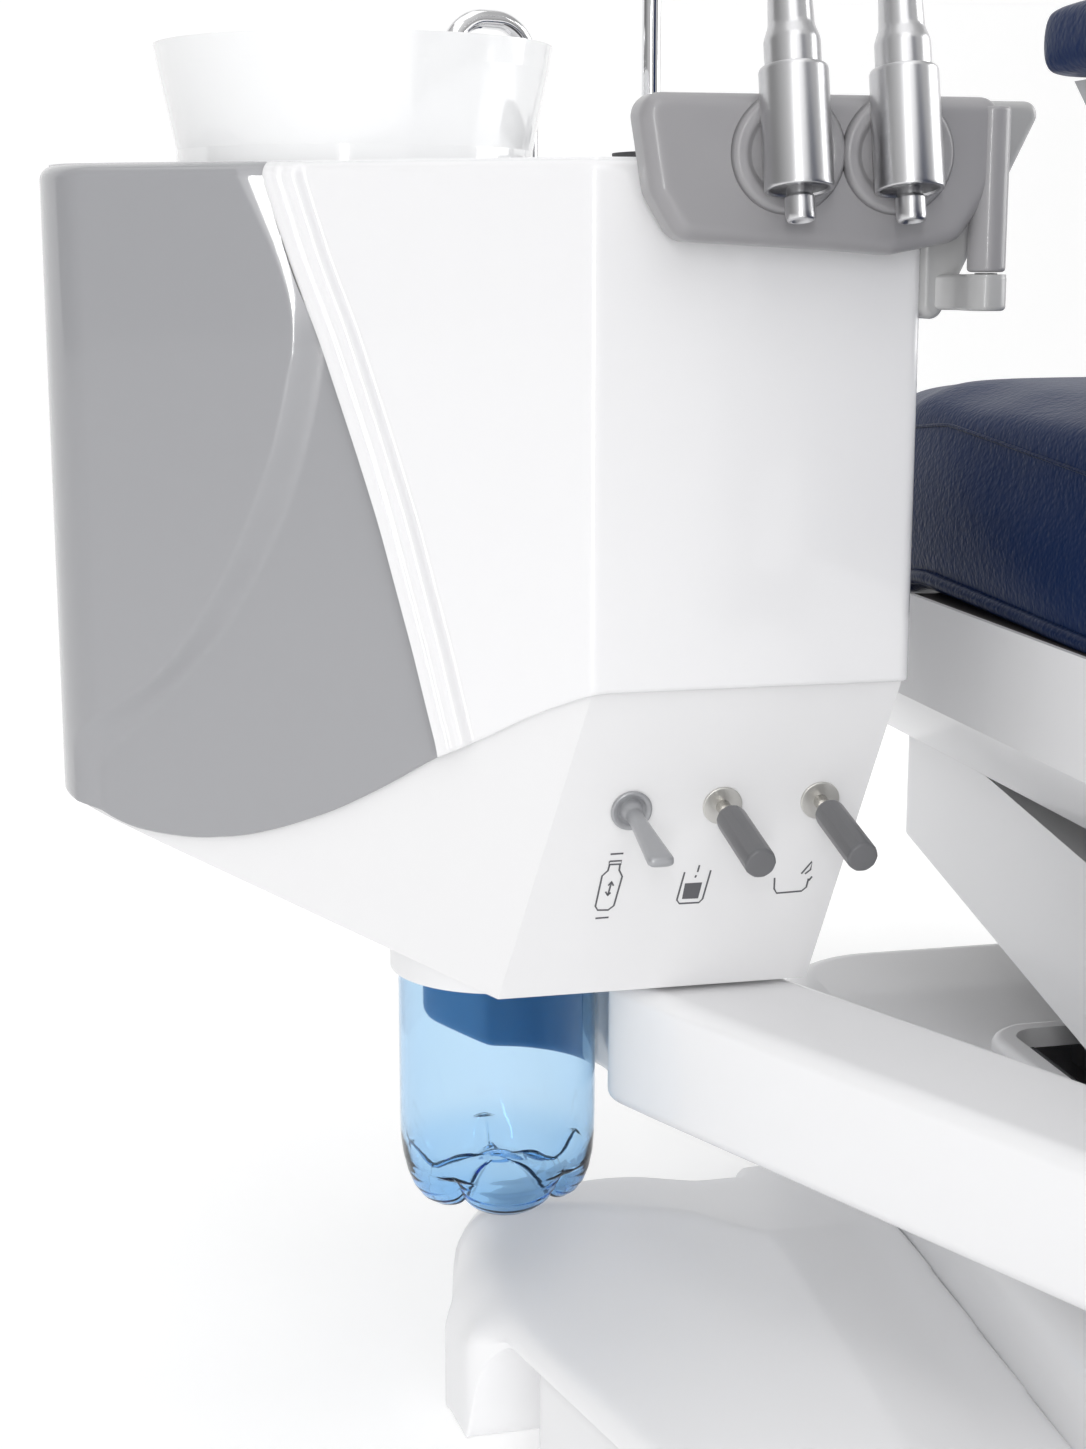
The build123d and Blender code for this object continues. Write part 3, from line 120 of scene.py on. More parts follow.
# the air is white, brightest overhead and behind the camera, and dark from the far side
world = bpy.data.worlds.new("studio_air")
world.use_nodes = True
air = world.node_tree
way = air.nodes.new("ShaderNodeTexCoord")
split = air.nodes.new("ShaderNodeSeparateXYZ")
total = air.nodes.new("ShaderNodeMath")
air.links.new(way.outputs["Generated"], split.inputs[0])
for number, axis, end, low, high in ((0, "Y", -1, 0.09, 0.60), (1, "Z", 1, 0.09, 0.55)):
    ramp = set_sockets(air.nodes.new("ShaderNodeMapRange"), From_Max=end, To_Min=low, To_Max=high)
    air.links.new(split.outputs[axis], ramp.inputs["Value"])
    air.links.new(ramp.outputs["Result"], total.inputs[number])
air.links.new(total.outputs[0], air.nodes["Background"].inputs["Strength"])
set_sockets(air.nodes["Background"], Color=(1, 1, 1, 1))
bpy.context.scene.world = world
bpy.context.scene.view_settings.view_transform = "Standard"

soft_lamp("lamp_overhead", (-0.3, 0.3, 3.6), (-0.3, 0.1, 0.4), 3.0, 3.0, 21)
soft_lamp("lamp_strip", (-1.55, -3.5, 1.0), (-0.5, 0.1, 0.5), 0.22, 2.6, 46)
soft_lamp("lamp_front", (-0.6, -2.6, 3.4), (-0.2, 0.0, 0.4), 2.4, 2.4, 20)
soft_lamp("lamp_right", (3.6, 0.2, 1.4), (0.0, 0.0, 0.5), 2.4, 2.4, 70)

# ---------------------------------------------------------------- floor box
# The service box beside the base: a steel tray on the floor under a vacuum-formed white cover.
# The cover's flank falls from a level top to a lip over the tray, and sweeps round the front end
# into a lobe that stands on the floor.
def painted(name, colour, roughness, coat, mottle, grain, metallic=0.0, grain_size=900):
    """Sprayed or moulded finish: a slow noise sways the roughness by +-mottle, and a fine
    noise stands as a bump of strength grain under a clear coat of weight coat."""
    m = plain_material(name, colour, roughness, metallic)
    tree = m.node_tree
    p = set_sockets(tree.nodes["Principled BSDF"], Coat_Weight=coat, Coat_Roughness=0.06)
    place = tree.nodes.new("ShaderNodeTexCoord")
    slow = set_sockets(tree.nodes.new("ShaderNodeTexNoise"), Scale=14, Detail=5)
    sway = set_sockets(tree.nodes.new("ShaderNodeMapRange"), To_Min=roughness - mottle,
                       To_Max=roughness + mottle)
    fine = set_sockets(tree.nodes.new("ShaderNodeTexNoise"), Scale=grain_size)
    bump = set_sockets(tree.nodes.new("ShaderNodeBump"), Strength=grain, Distance=0.0004)
    for a, b in ((place.outputs["Object"], slow.inputs["Vector"]),
                 (place.outputs["Object"], fine.inputs["Vector"]),
                 (slow.outputs["Fac"], sway.inputs["Value"]),
                 (sway.outputs["Result"], p.inputs["Roughness"]),
                 (fine.outputs["Fac"], bump.inputs["Height"]),
                 (bump.outputs["Normal"], p.inputs["Normal"])):
        tree.links.new(a, b)
    return m


def piece(name, mesh, material, body, replaces=()):
    """Link a mesh as a piece that rides on a body and may stand for CAD nodes."""
    obj = bpy.data.objects.new(name, mesh)
    bpy.context.scene.collection.objects.link(obj)
    mesh.materials.append(material)
    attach(obj, body)
    if replaces:
        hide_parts(*replaces)
    return obj


def lip_x(y):
    """x of the cover's lip at y: the same up to y = -100 mm, then 0.243 per metre further out."""
    return -0.457 - 0.243 * (max(y, -0.100) + 0.003)


def gap_to(points, line):
    """Distance in plan from each point to a polyline."""
    best = np.full(len(points), 9.0)
    for a, b in zip(line[:-1], line[1:]):
        t = np.clip(((points - a) @ (b - a)) / ((b - a) @ (b - a)), 0, 1)
        best = np.minimum(best, np.linalg.norm(points - a - t[:, None] * (b - a), axis=1))
    return best


def bake(obj):
    """Replace an object's mesh by what its modifiers make of it."""
    graph = bpy.context.evaluated_depsgraph_get()
    mesh = bpy.data.meshes.new_from_object(obj.evaluated_get(graph))
    obj.modifiers.clear()
    obj.data = mesh


def remeshed(obj, cell):
    """Rebuild an object's mesh from cubic cells of that size."""
    cells = obj.modifiers.new("cells", "REMESH")
    cells.mode = "VOXEL"
    cells.voxel_size = cell
    bake(obj)
    obj.data.shade_smooth()


def prism(name, outline, place, near, far):
    """Solid between two copies of a 2-D outline, place(a, b, depth) giving the points in space."""
    n = len(outline)
    a, b = np.array(outline).T
    i = np.arange(n)
    j = np.roll(i, -1)
    faces = [i[::-1].tolist(), (n + i).tolist()] + np.stack([i, j, n + j, n + i], -1).tolist()
    mesh = bpy.data.meshes.new(name)
    mesh.from_pydata(np.vstack([place(a, b, np.full(n, depth)) for depth in (near, far)]), [], faces)
    return mesh


def over_plan(x, y, z):
    """Points over a plan outline, as an array."""
    return np.stack([x, y, z], -1)


def read_points(mesh):
    """Vertex coordinates of a mesh as an (n, 3) array."""
    flat = np.zeros(len(mesh.vertices) * 3)
    mesh.vertices.foreach_get("co", flat)
    return flat.reshape(-1, 3)


def outward(outline):
    """Unit normals of a closed outline: the tangent turned a quarter turn, away from its middle."""
    tangent = np.roll(outline, -1, 0) - np.roll(outline, 1, 0)
    normal = np.stack([tangent[:, 1], -tangent[:, 0]], -1)
    normal /= np.linalg.norm(normal, axis=1)[:, None]
    spin = np.sum(outline[:, 0] * np.roll(outline[:, 1], -1) - np.roll(outline[:, 0], -1) * outline[:, 1])
    return normal * np.sign(spin)


def tablet(name, outline, profile):
    """Closed body over a plan outline: each (inset, z) of the profile gives a ring, the outline
    moved inwards by the inset, and flat faces close the first and last ring."""
    normal = outward(outline)
    rings = [np.column_stack([outline - normal * inset, np.full(len(outline), z)]) for inset, z in profile]
    mesh = grid_mesh(name, np.stack(rings), close_u=True)
    count = len(outline)
    bm = bmesh.new()
    bm.from_mesh(mesh)
    bm.verts.ensure_lookup_table()
    bm.faces.new([bm.verts[i] for i in range(count)])
    bm.faces.new([bm.verts[len(bm.verts) - 1 - i] for i in range(count)])
    bmesh.ops.recalc_face_normals(bm, faces=bm.faces[:])
    bm.to_mesh(mesh)
    bm.free()
    mesh.shade_smooth()
    return mesh


def pillow_profile(low, high, bottom, top):
    """(inset, z) profile from low to high with edges rounded by bottom and top radii: each edge
    is a quarter circle, followed by a short flat so that the faces shade flat."""
    t, flat = np.linspace(0, np.pi / 2, 7), 0.0015
    first = [(bottom * (1 - math.sin(a)), low + bottom * (1 - math.cos(a))) for a in t]
    last = [(top * (1 - math.cos(a)), high - top * (1 - math.sin(a))) for a in t]
    return [(bottom + flat, low)] + first + last + [(top + flat, high)]


def rounded_outline(corners, radii, spacing):
    """Closed outline through corners, each replaced by an arc of its radius: arc points are
    centre + r (cos t, sin t), and straight runs join the arcs. Returns evenly spaced (x, y)."""
    pts = np.asarray(corners, float)
    before, after = np.roll(pts, 1, 0), np.roll(pts, -1, 0)
    parts = []
    for p, a, b, r in zip(pts, before, after, radii):
        da, db = (a - p) / np.linalg.norm(a - p), (b - p) / np.linalg.norm(b - p)
        half = np.arccos(np.clip(da @ db, -1, 1)) / 2
        start, end = p + da * r / np.tan(half), p + db * r / np.tan(half)
        mid = p + (da + db) / np.linalg.norm(da + db) * r / np.sin(half)
        a0 = np.arctan2(*(start - mid)[::-1])
        turn = (np.arctan2(*(end - mid)[::-1]) - a0 + np.pi) % (2 * np.pi) - np.pi
        t = a0 + turn * np.linspace(0, 1, 25)
        parts.append(mid + r * np.stack([np.cos(t), np.sin(t)], -1))
    rough = np.vstack(parts + [parts[0][:1]])
    gone = np.concatenate([[0], np.cumsum(np.linalg.norm(np.diff(rough, axis=0), axis=1))])
    count = max(24, int(gone[-1] / spacing))
    at = np.linspace(0, gone[-1], count, endpoint=False)
    return np.stack([np.interp(at, gone, rough[:, 0]), np.interp(at, gone, rough[:, 1])], -1)


def step(x, a, b):
    """Smooth step 3t^2 - 2t^3 with t running from 0 at a to 1 at b."""
    t = np.clip((x - a) / (b - a), 0, 1)
    return t * t * (3 - 2 * t)


cover_white = painted("cover_white", (0.88, 0.88, 0.89), 0.42, 0.15, 0.05, 0.04)
box_rear, box_front, crest, nose_fall, chair_side = -0.420, 0.266, 0.100, 0.16, -0.315
lip_rear, lip_bend = lip_x(-0.100), lip_x(0.108)
box_corners = [(-0.302, box_rear), (-0.262, box_front), (-0.400, box_front), (-0.478, 0.236),
               (-0.506, 0.168), (-0.502, 0.124), (lip_bend, 0.106),
               (lip_rear, -0.100), (lip_rear, box_rear)]
box_line = rounded_outline(box_corners, (0.004, 0.010, 0.060, 0.040, 0.020, 0.016, 0.012, 0.3, 0.040), 0.004)
box_block = prism("floor_box_shell", box_line, over_plan, 0.0, crest)
box_cover = piece("floor_box_shell", box_block, cover_white, "base", ["floor_box_cover"])
remeshed(box_cover, 0.0038)
spots = read_points(box_cover.data)
plan, plan_x, plan_y = spots[:, :2], spots[:, 0], spots[:, 1]
crease = np.array([(-0.374, -0.420), (-0.355, -0.101), (-0.342, 0.103), (-0.345, 0.128), (-0.378, 0.163),
                   (-0.418, 0.180), (-0.457, 0.190), (-0.490, 0.190)])
ridge, (turn_x, crest_end) = crease[3:], crease[3]
to_rim = gap_to(plan, np.vstack([box_line, box_line[:1]]))
to_crease = gap_to(plan, crease)
to_outer = gap_to(plan, np.array([(lip_rear, box_rear), (lip_rear, -0.1), (lip_bend, 0.108),
                                  (-0.504, 0.150), (-0.500, 0.190)]))
# The top is level on the chair's side of the crease and 30 mm lower at the lip, by the 0.85th
# power of the share of the way there. Past the ridge it falls by 0.16 per metre. Its rim is
# rounded by 8 mm, or 28 mm round the lobe, but left sharp on the chair's side.
ridge_y = np.interp(plan_x, ridge[::-1, 0], ridge[::-1, 1])
beyond = plan_y > ridge_y
level = plan_x > np.interp(plan_y, crease[:4, 1], crease[:4, 0])
level = np.where(plan_y < crest_end, level, plan_x > turn_x)
share = to_crease / np.maximum(to_crease + to_outer, 1e-6)
top = crest - 0.030 * share ** 0.85
top = np.where(beyond, crest - nose_fall * (plan_y - ridge_y), top)
top = np.where(level, crest - nose_fall * np.maximum(0, plan_y - crest_end), top)
edge_r = 0.008 + 0.020 * step(plan_y, 0.10, 0.15)
near_rim = np.clip(to_rim, 0, edge_r)
top = top - (edge_r - np.sqrt(np.maximum(edge_r ** 2 - (edge_r - near_rim) ** 2, 0))) * (plan_x < chair_side)
# the lower edge clears the floor by 62 mm over the tray and comes down in a quarter ellipse
foot = 0.062 * np.sqrt(1 - np.clip((plan_y - 0.100) / 0.024, 0, 1) ** 2)
spots[:, 2] = foot + spots[:, 2] / crest * (top - foot)
box_cover.data.vertices.foreach_set("co", spots.ravel())
even = box_cover.modifiers.new("even", "SMOOTH")
even.iterations = 4
bake(box_cover)

tray_paint = painted("tray_paint", (0.84, 0.84, 0.85), 0.35, 0.2, 0.05, 0.03)
tray_edge = [(-0.318, -0.414), (-0.318, 0.098), (lip_x(0.098) + 0.004, 0.098),
             (lip_rear + 0.004, -0.100), (lip_rear + 0.004, -0.414)]
box_tray = tablet("floor_tray", rounded_outline(tray_edge, (0.016, 0.016, 0.016, 0.3, 0.016), 0.004),
                  pillow_profile(0.0, 0.0605, 0.002, 0.009))
piece("floor_tray", box_tray, tray_paint, "base", ["floor_box_tray"])

# ---------------------------------------------------------------- frame, covers and fittings
# The remaining CAD nodes are shown as they are: welded and painted steel, turned pins, rubber
# feet and wipers, plywood boards, moulded covers and the white stoneware bowl.
satin_white = painted("satin_white", (0.83, 0.83, 0.84), 0.36, 0.25, 0.05, 0.02)
frame_paint = painted("frame_paint", (0.42, 0.425, 0.44), 0.42, 0.2, 0.05, 0.06)
bare_steel = painted("bare_steel", (0.56, 0.56, 0.57), 0.28, 0.0, 0.08, 0.03, 1.0)
polished = painted("polished_chrome", (0.78, 0.78, 0.79), 0.08, 0.0, 0.02, 0.0, 1.0)
rubber = painted("black_rubber", (0.045, 0.045, 0.048), 0.62, 0.0, 0.08, 0.2)
stoneware = painted("stoneware", (0.86, 0.865, 0.87), 0.10, 1.0, 0.02, 0.0)
plywood = painted("edge_sealed_plywood", (0.040, 0.036, 0.034), 0.6, 0.0, 0.08, 0.3, 0.0, 260)
finishes = {
    frame_paint: ("base_plate", "lift_pedestals", "lift_arm_frame", "parallel_links", "seat_carrier",
                  "backrest_frame", "unit_chassis", "headrest_bracket", "lift_power_pack",
                  "armrest_posts", "armrest_bar_left", "armrest_bar_right"),
    bare_steel: ("base_pivot_pins", "carrier_pivot_pins", "backrest_pins", "valve_bodies",
                 "bowl_strainer"),
    polished: ("headrest_stem", "cup_spout", "bowl_spout"),
    rubber: ("levelling_feet", "slot_wipers", "bowl_drain", "cup_pad"),
    stoneware: ("bowl",),
    plywood: ("seat_boards", "backrest_board"),
    satin_white: ("base_cover", "lift_arm_cover", "seat_shroud", "backrest_shell", "headrest_guide",
                  "unit_deck", "bottle_manifold", "bottle_sleeve"),
}
for finish, names in finishes.items():
    for name in names:
        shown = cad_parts[name]
        shown.data.materials.clear()
        shown.data.materials.append(finish)

# ---------------------------------------------------------------- seat upholstery
# One cushion of foam under navy grained vinyl, 112 mm thick, rolls round the backrest's hinge
# and slopes down to the feet. A seam runs round under its top edge and piping round its foot.
def stuffed(name, mesh, body, node, cell, cap, held, pressure=4.0):
    """Upholstery blown up from a plain solid: it is remeshed to cells, held(points) marks what is
    glued to the board, air pressure pushes the rest out for 20 frames of cloth simulation, and
    no point moves further than cap."""
    obj = piece(name, mesh, vinyl, body, [node])
    remeshed(obj, cell)
    rest = read_points(obj.data)
    group = obj.vertex_groups.new(name="held")
    group.add(np.nonzero(held(rest))[0].tolist(), 1.0, "REPLACE")
    cloth = obj.modifiers.new("cloth", "CLOTH")
    rules = cloth.settings
    rules.quality = 4
    rules.mass = 0.15
    rules.tension_stiffness = rules.compression_stiffness = 25
    rules.shear_stiffness = 6
    rules.bending_stiffness = 2.5
    rules.vertex_group_mass = "held"
    rules.use_pressure = True
    rules.uniform_pressure_force = pressure
    rules.effector_weights.gravity = 0
    cloth.collision_settings.use_collision = False
    cloth.point_cache.frame_end = 20
    for frame_now in range(1, 21):
        bpy.context.scene.frame_set(frame_now)
    bake(obj)
    bpy.context.scene.frame_set(1)
    moved = read_points(obj.data) - rest
    far = np.maximum(np.linalg.norm(moved, axis=1), 1e-9)
    settled = rest + moved * (np.minimum(far, cap) / far)[:, None]
    obj.data.vertices.foreach_set("co", settled.ravel())
    smooth = obj.modifiers.new("smooth", "SMOOTH")
    smooth.iterations = 14
    bake(obj)
    finer = obj.modifiers.new("finer", "SUBSURF")
    finer.levels = finer.render_levels = 1
    obj.data.shade_smooth()
    obj.data.materials.clear()
    obj.data.materials.append(vinyl)
    return obj


def tube(name, path, radius):
    """Closed tube round a closed path: rings of the path's normal and binormal, radius wide."""
    way = np.roll(path, -1, 0) - np.roll(path, 1, 0)
    way /= np.linalg.norm(way, axis=1)[:, None]
    side = np.cross(way, (0.13, 0.21, 0.97))
    side /= np.linalg.norm(side, axis=1)[:, None]
    up = np.cross(side, way)
    t = np.linspace(0, 2 * np.pi, 10, endpoint=False)
    ring = np.cos(t)[None, :, None] * side[:, None] + np.sin(t)[None, :, None] * up[:, None]
    return grid_mesh(name, path[:, None] + radius * ring, close_u=True, close_v=True)


def laid(obj, starts, ways, lift):
    """Path on an object's surface: a ray from each start along its way finds the point, which
    then stands off the surface by lift and is evened out along the path."""
    faces = [list(p.vertices) for p in obj.data.polygons]
    tree = BVHTree.FromPolygons(read_points(obj.data).tolist(), faces)
    found = []
    for start, way in zip(starts, ways):
        spot, normal, _, _ = tree.ray_cast(Vector(start), Vector(way))
        if spot is not None:
            found.append(spot + normal * lift)
    path = np.array(found)
    for _ in range(3):
        path = 0.5 * path + 0.25 * (np.roll(path, 1, 0) + np.roll(path, -1, 0))
    return path


def grained(name, colour, roughness):
    """Grained vinyl: Voronoi cells with soft borders and a fine noise stand as a bump, and a
    slow noise sways the roughness."""
    m = painted(name, colour, roughness, 0.0, 0.06, 0.0)
    tree = m.node_tree
    p = set_sockets(tree.nodes["Principled BSDF"], Specular_IOR_Level=0.07)
    place = tree.nodes.new("ShaderNodeTexCoord")
    grain = set_sockets(tree.nodes.new("ShaderNodeTexVoronoi"), Scale=420)
    grain.feature = "SMOOTH_F1"
    crease = set_sockets(tree.nodes.new("ShaderNodeTexNoise"), Scale=160, Detail=6)
    both = tree.nodes.new("ShaderNodeMath")
    both.operation = "MULTIPLY_ADD"
    both.inputs[1].default_value = 0.7
    bump = set_sockets(tree.nodes.new("ShaderNodeBump"), Strength=0.50, Distance=0.0008)
    for a, b in ((place.outputs["Object"], grain.inputs["Vector"]),
                 (place.outputs["Object"], crease.inputs["Vector"]),
                 (grain.outputs["Distance"], both.inputs[0]),
                 (crease.outputs["Fac"], both.inputs[2]),
                 (both.outputs[0], bump.inputs["Height"]),
                 (bump.outputs["Normal"], p.inputs["Normal"])):
        tree.links.new(a, b)
    return m


def seat_foot(y):
    """Height of the cushion's lower edge: it rises 0.029 per metre to y = 185 mm, then falls
    8 degrees to the feet."""
    return 0.424 - 0.029 * np.maximum(0, 0.185 - y) - 0.140 * np.maximum(0, y - 0.185)


def under_seat(points):
    """True for the points on the seat's underside, which are glued to the boards."""
    return points[:, 2] < seat_foot(points[:, 1]) + 0.004


def cut_off(bm, normal, spot):
    """Cut away what lies beyond a plane, and close the cut with a face."""
    cut = bmesh.ops.bisect_plane(bm, geom=bm.verts[:] + bm.edges[:] + bm.faces[:], plane_co=spot,
                                 plane_no=normal, clear_outer=True)
    rim = [e for e in cut["geom_cut"] if isinstance(e, bmesh.types.BMEdge)]
    bmesh.ops.edgeloop_fill(bm, edges=rim)


vinyl = grained("navy_vinyl", (0.0055, 0.0180, 0.068), 0.36)
piping_vinyl = grained("piping_vinyl", (0.0045, 0.0140, 0.052), 0.34)
seat_outline = [(-0.331, 0.500), (-0.296, 0.410), (0.185, 0.424), (0.842, 0.332), (0.843, 0.386),
                (0.285, 0.519), (0.215, 0.527), (-0.300, 0.524), (-0.322, 0.518), (-0.330, 0.508)]
seat_mesh = prism("seat_cushion", seat_outline, lambda y, z, x: over_plan(x, y, z), -0.243, 0.243)
# from y = 245 mm on, the cushion narrows by 65 mm a side over 595 mm
trim = bmesh.new()
trim.from_mesh(seat_mesh)
for way in (-1, 1):
    cut_off(trim, Vector((way * 0.595, 0.065, 0)).normalized(), (way * 0.243, 0.245, 0))
bmesh.ops.recalc_face_normals(trim, faces=trim.faces[:])
trim.to_mesh(seat_mesh)
trim.free()

seat = stuffed("seat_upholstery", seat_mesh, "carrier", "seat_cushion", 0.0075, 0.009, under_seat)
seat_plan = rounded_outline([(-0.245, -0.318), (0.245, -0.318), (0.245, 0.245), (0.178, 0.838),
                             (-0.178, 0.838), (-0.245, 0.245)], (0.020, 0.020, 0.2, 0.03, 0.03, 0.2), 0.006)
plan_out = outward(seat_plan)
top_line = np.interp(seat_plan[:, 1], [-0.3, -0.01, 0.083, 0.177, 0.27, 0.84],
                     [0.480, 0.5010, 0.5075, 0.5140, 0.505, 0.371])
pipe_line = seat_foot(seat_plan[:, 1]) + 0.010
for name, height, thick in (("seat_seam", top_line, 0.0010), ("seat_piping", pipe_line, 0.0042)):
    starts = np.column_stack([seat_plan + plan_out * 0.08, height])
    line = laid(seat, starts, np.column_stack([-plan_out, np.zeros(len(plan_out))]), 0.0)
    piece(name, tube(name, line, thick), piping_vinyl, "carrier")

# ---------------------------------------------------------------- backrest and headrest upholstery
# The same vinyl over foam on plywood boards: the backrest is 88 mm thick and narrows towards the
# shoulders, and the headrest is a small pad of its own. Each has a seam and piping by its board.
def framed(root, up_way, out_way, x, up, out):
    """Points in a leaning frame: root + x across + up along up_way + out along out_way."""
    outer = np.multiply.outer
    return outer(x, (1.0, 0.0, 0.0)) + root + outer(up, up_way) + outer(out, out_way)


def on_back(x, up, deep):
    """Points in the backrest's frame: x across, up along it from the hinge, deep away from the
    patient."""
    return framed(back_root, back_up, back_in, x, up, deep)


def back_pad(name, body, node, corners, radii, front, rear, cell):
    """A stuffed pad between two depths of the backrest's frame, with its seam and piping."""
    line = rounded_outline(corners, radii, 0.006)
    shrunk = line - outward(line) * 0.006
    mesh = prism(name, shrunk, on_back, front + 0.007, rear - 0.001)

    def glued(points):
        """True for the points on the board's side of the pad."""
        return (points - back_root) @ back_in > rear - 0.005

    pad = stuffed(name, mesh, body, node, cell, 0.020, glued)
    out = outward(line)
    rays = back_root - on_back(*out.T, 0)
    for part, deep, thick, lift in (("seam", front + 0.024, 0.0010, 0.0),
                                    ("piping", rear - 0.010, 0.0030, 0.0008)):
        starts = on_back(*(line + out * 0.08).T, deep)
        piece(f"{name}_{part}", tube(part, laid(pad, starts, rays, lift), thick), piping_vinyl, body)


lean_back = math.radians(30)
back_up = np.array([0, -0.5, math.cos(lean_back)])
back_in = np.array([0, -math.cos(lean_back), -0.5])
back_root = np.array([0, -0.300, 0.500])

back_pad("backrest_upholstery", "backrest", "backrest_cushion",
         [(-0.250, 0.042), (0.250, 0.042), (0.190, 0.640), (-0.190, 0.640)], (0.070,) * 4,
         -0.037, 0.051, 0.0075)
back_pad("headrest_upholstery", "headrest", "headrest_cushion",
         [(-0.130, 0.672), (0.130, 0.672), (0.130, 0.812), (-0.130, 0.812)], (0.045,) * 4,
         -0.042, 0.018, 0.005)

# ---------------------------------------------------------------- armrest pads
# Two soft moulded pads, 64 by 196 mm, with rounded ends, each screwed to its steel bar.
for name, x in (("left", -0.302), ("right", 0.302)):
    pad_line = rounded_outline([(x - 0.032, -0.302), (x + 0.032, -0.302), (x + 0.032, -0.106),
                                (x - 0.032, -0.106)], (0.026,) * 4, 0.004)
    pad_line = pad_line - outward(pad_line) * 0.003
    pad_mesh = prism("armrest_pad", pad_line, over_plan, 0.665, 0.690)
    stuffed(f"armrest_pad_{name}_soft", pad_mesh, f"armrest_{name}", f"armrest_pad_{name}",
            0.0045, 0.012, lambda points: points[:, 2] < 0.667, 3.0)

# ---------------------------------------------------------------- support arm
# A welded steel box, 75 by 66 mm, with rounded edges and white powder coat, reaches from the post
# under the seat to the far side of the unit. It is hollowed on one side to pass the bottle. The hollow
# and the far end are coloured deep blue as painted shade, for the arm's shaded side seen through the bottle.
def spin_mesh(name, profile, centre, axis, sides=64, wave=None, across=None):
    """Surface of revolution: profile gives (radius, height) pairs, placed on a centre and axis.
    wave(angle, height) may scale the radius, and the angle starts at across."""
    axis = Vector(axis).normalized()
    first = Vector(across).normalized() if across else axis.orthogonal().normalized()
    second = axis.cross(first)
    t = np.linspace(0, 2 * np.pi, sides, endpoint=False)
    prof = np.asarray(profile, float)
    radius = prof[:, :1] * (wave(t[None, :], prof[:, 1:]) if wave else np.ones((1, sides)))
    ring = (np.cos(t)[:, None] * np.array(first) + np.sin(t)[:, None] * np.array(second))
    pts = np.array(centre) + radius[..., None] * ring[None] + prof[:, 1][:, None, None] * np.array(axis)
    return grid_mesh(name, pts, close_u=True, cap_low=True, cap_high=True)


def joined(name, meshes):
    """One smooth mesh made of several."""
    bm = bmesh.new()
    for mesh in meshes:
        bm.from_mesh(mesh)
    out = bpy.data.meshes.new(name)
    bm.to_mesh(out)
    bm.free()
    out.shade_smooth()
    return out


far_end, elbow_at = np.array([-0.406, 0.149]), np.array([-0.198, -0.300])
arm_way = (elbow_at - far_end) / np.linalg.norm(elbow_at - far_end)
arm_side = np.array([arm_way[1], -arm_way[0]])
arm_reach, arm_half = 0.165, 0.0375
arm_length = np.linalg.norm(elbow_at - far_end) + arm_half
arm_corners = [far_end + arm_way * a + arm_side * b for a, b in (
    (-arm_reach, arm_half), (arm_length, arm_half), (arm_length, -arm_half), (-arm_reach, -arm_half))]
arm_outline = rounded_outline(arm_corners, (0.030,) * 4, 0.003)
# the hollow pushes the outline out to its radius from the bottle's axis, with a soft shoulder
bottle_at, hollow_r, shoulder = np.array([-0.480, 0.150]), 0.0575, 0.006
from_bottle = arm_outline - bottle_at
apart = np.linalg.norm(from_bottle, axis=1)
pushed = 0.5 * (apart + hollow_r + np.sqrt((apart - hollow_r) ** 2 + shoulder ** 2))
arm_outline = bottle_at + from_bottle / apart[:, None] * np.where(apart < 0.09, pushed, apart)[:, None]
arm_white = painted("arm_white", (0.88, 0.88, 0.89), 0.30, 0.4, 0.04, 0.03)
arm_mesh = tablet("support_arm", arm_outline, pillow_profile(0.182, 0.248, 0.008, 0.008))
# painted shade: a deep blue for the arm's shaded side showing through the bottle and round the far end
painted_shade_blue = painted("painted_shade_blue", (0.006, 0.150, 0.360), 0.55, 0.0, 0.06, 0.1)
middles = np.zeros(len(arm_mesh.polygons) * 3)
arm_mesh.polygons.foreach_get("center", middles)
middles = middles.reshape(-1, 3)[:, :2]
# the painted shade covers the hollow from 22 degrees on, seen from the bottle's axis, and the far end
off_axis = middles - bottle_at
painted_shade_faces = np.linalg.norm(off_axis, axis=1) < hollow_r + 0.005
painted_shade_faces &= np.degrees(np.arctan2(off_axis[:, 1], off_axis[:, 0])) > 22
painted_shade_faces |= (middles - far_end) @ arm_way < -0.078
arm_mesh.polygons.foreach_set("material_index", painted_shade_faces.astype(int))
post_mesh = spin_mesh("post", [(0.026, 0.246), (0.026, 0.370)], (*elbow_at, 0), (0, 0, 1))
arm_box = piece("support_arm_box", joined("support_arm_box", [arm_mesh, post_mesh]), arm_white,
                "carrier", ["support_arm"])
arm_box.data.materials.append(painted_shade_blue)

# ---------------------------------------------------------------- water unit: upper casing
# Two 3 mm lacquered mouldings wrap the unit: a white front cover and a grey side panel. They meet
# along a curved flange with a raised double edge, and end above the hull in a shadow line.
def path_to(spot):
    """Path length of the outline's point nearest to a spot."""
    return np.argmin(np.linalg.norm(casing_line - spot, axis=1)) * pace


def on_casing(p):
    """Point and outward normal of the casing's outline at path length p, which may wrap."""
    k = np.mod(p, casing_round) / pace
    i = np.floor(k).astype(int) % len(casing_line)
    j = (i + 1) % len(casing_line)
    f = (k - np.floor(k))[..., None]
    n = casing_normal[i] * (1 - f) + casing_normal[j] * f
    return casing_line[i] * (1 - f) + casing_line[j] * f, n / np.linalg.norm(n, axis=-1)[..., None]


def side_run(xy):
    """Distance along the slanting side wall, measured from its front corner."""
    return (xy - corner_at) @ side_way


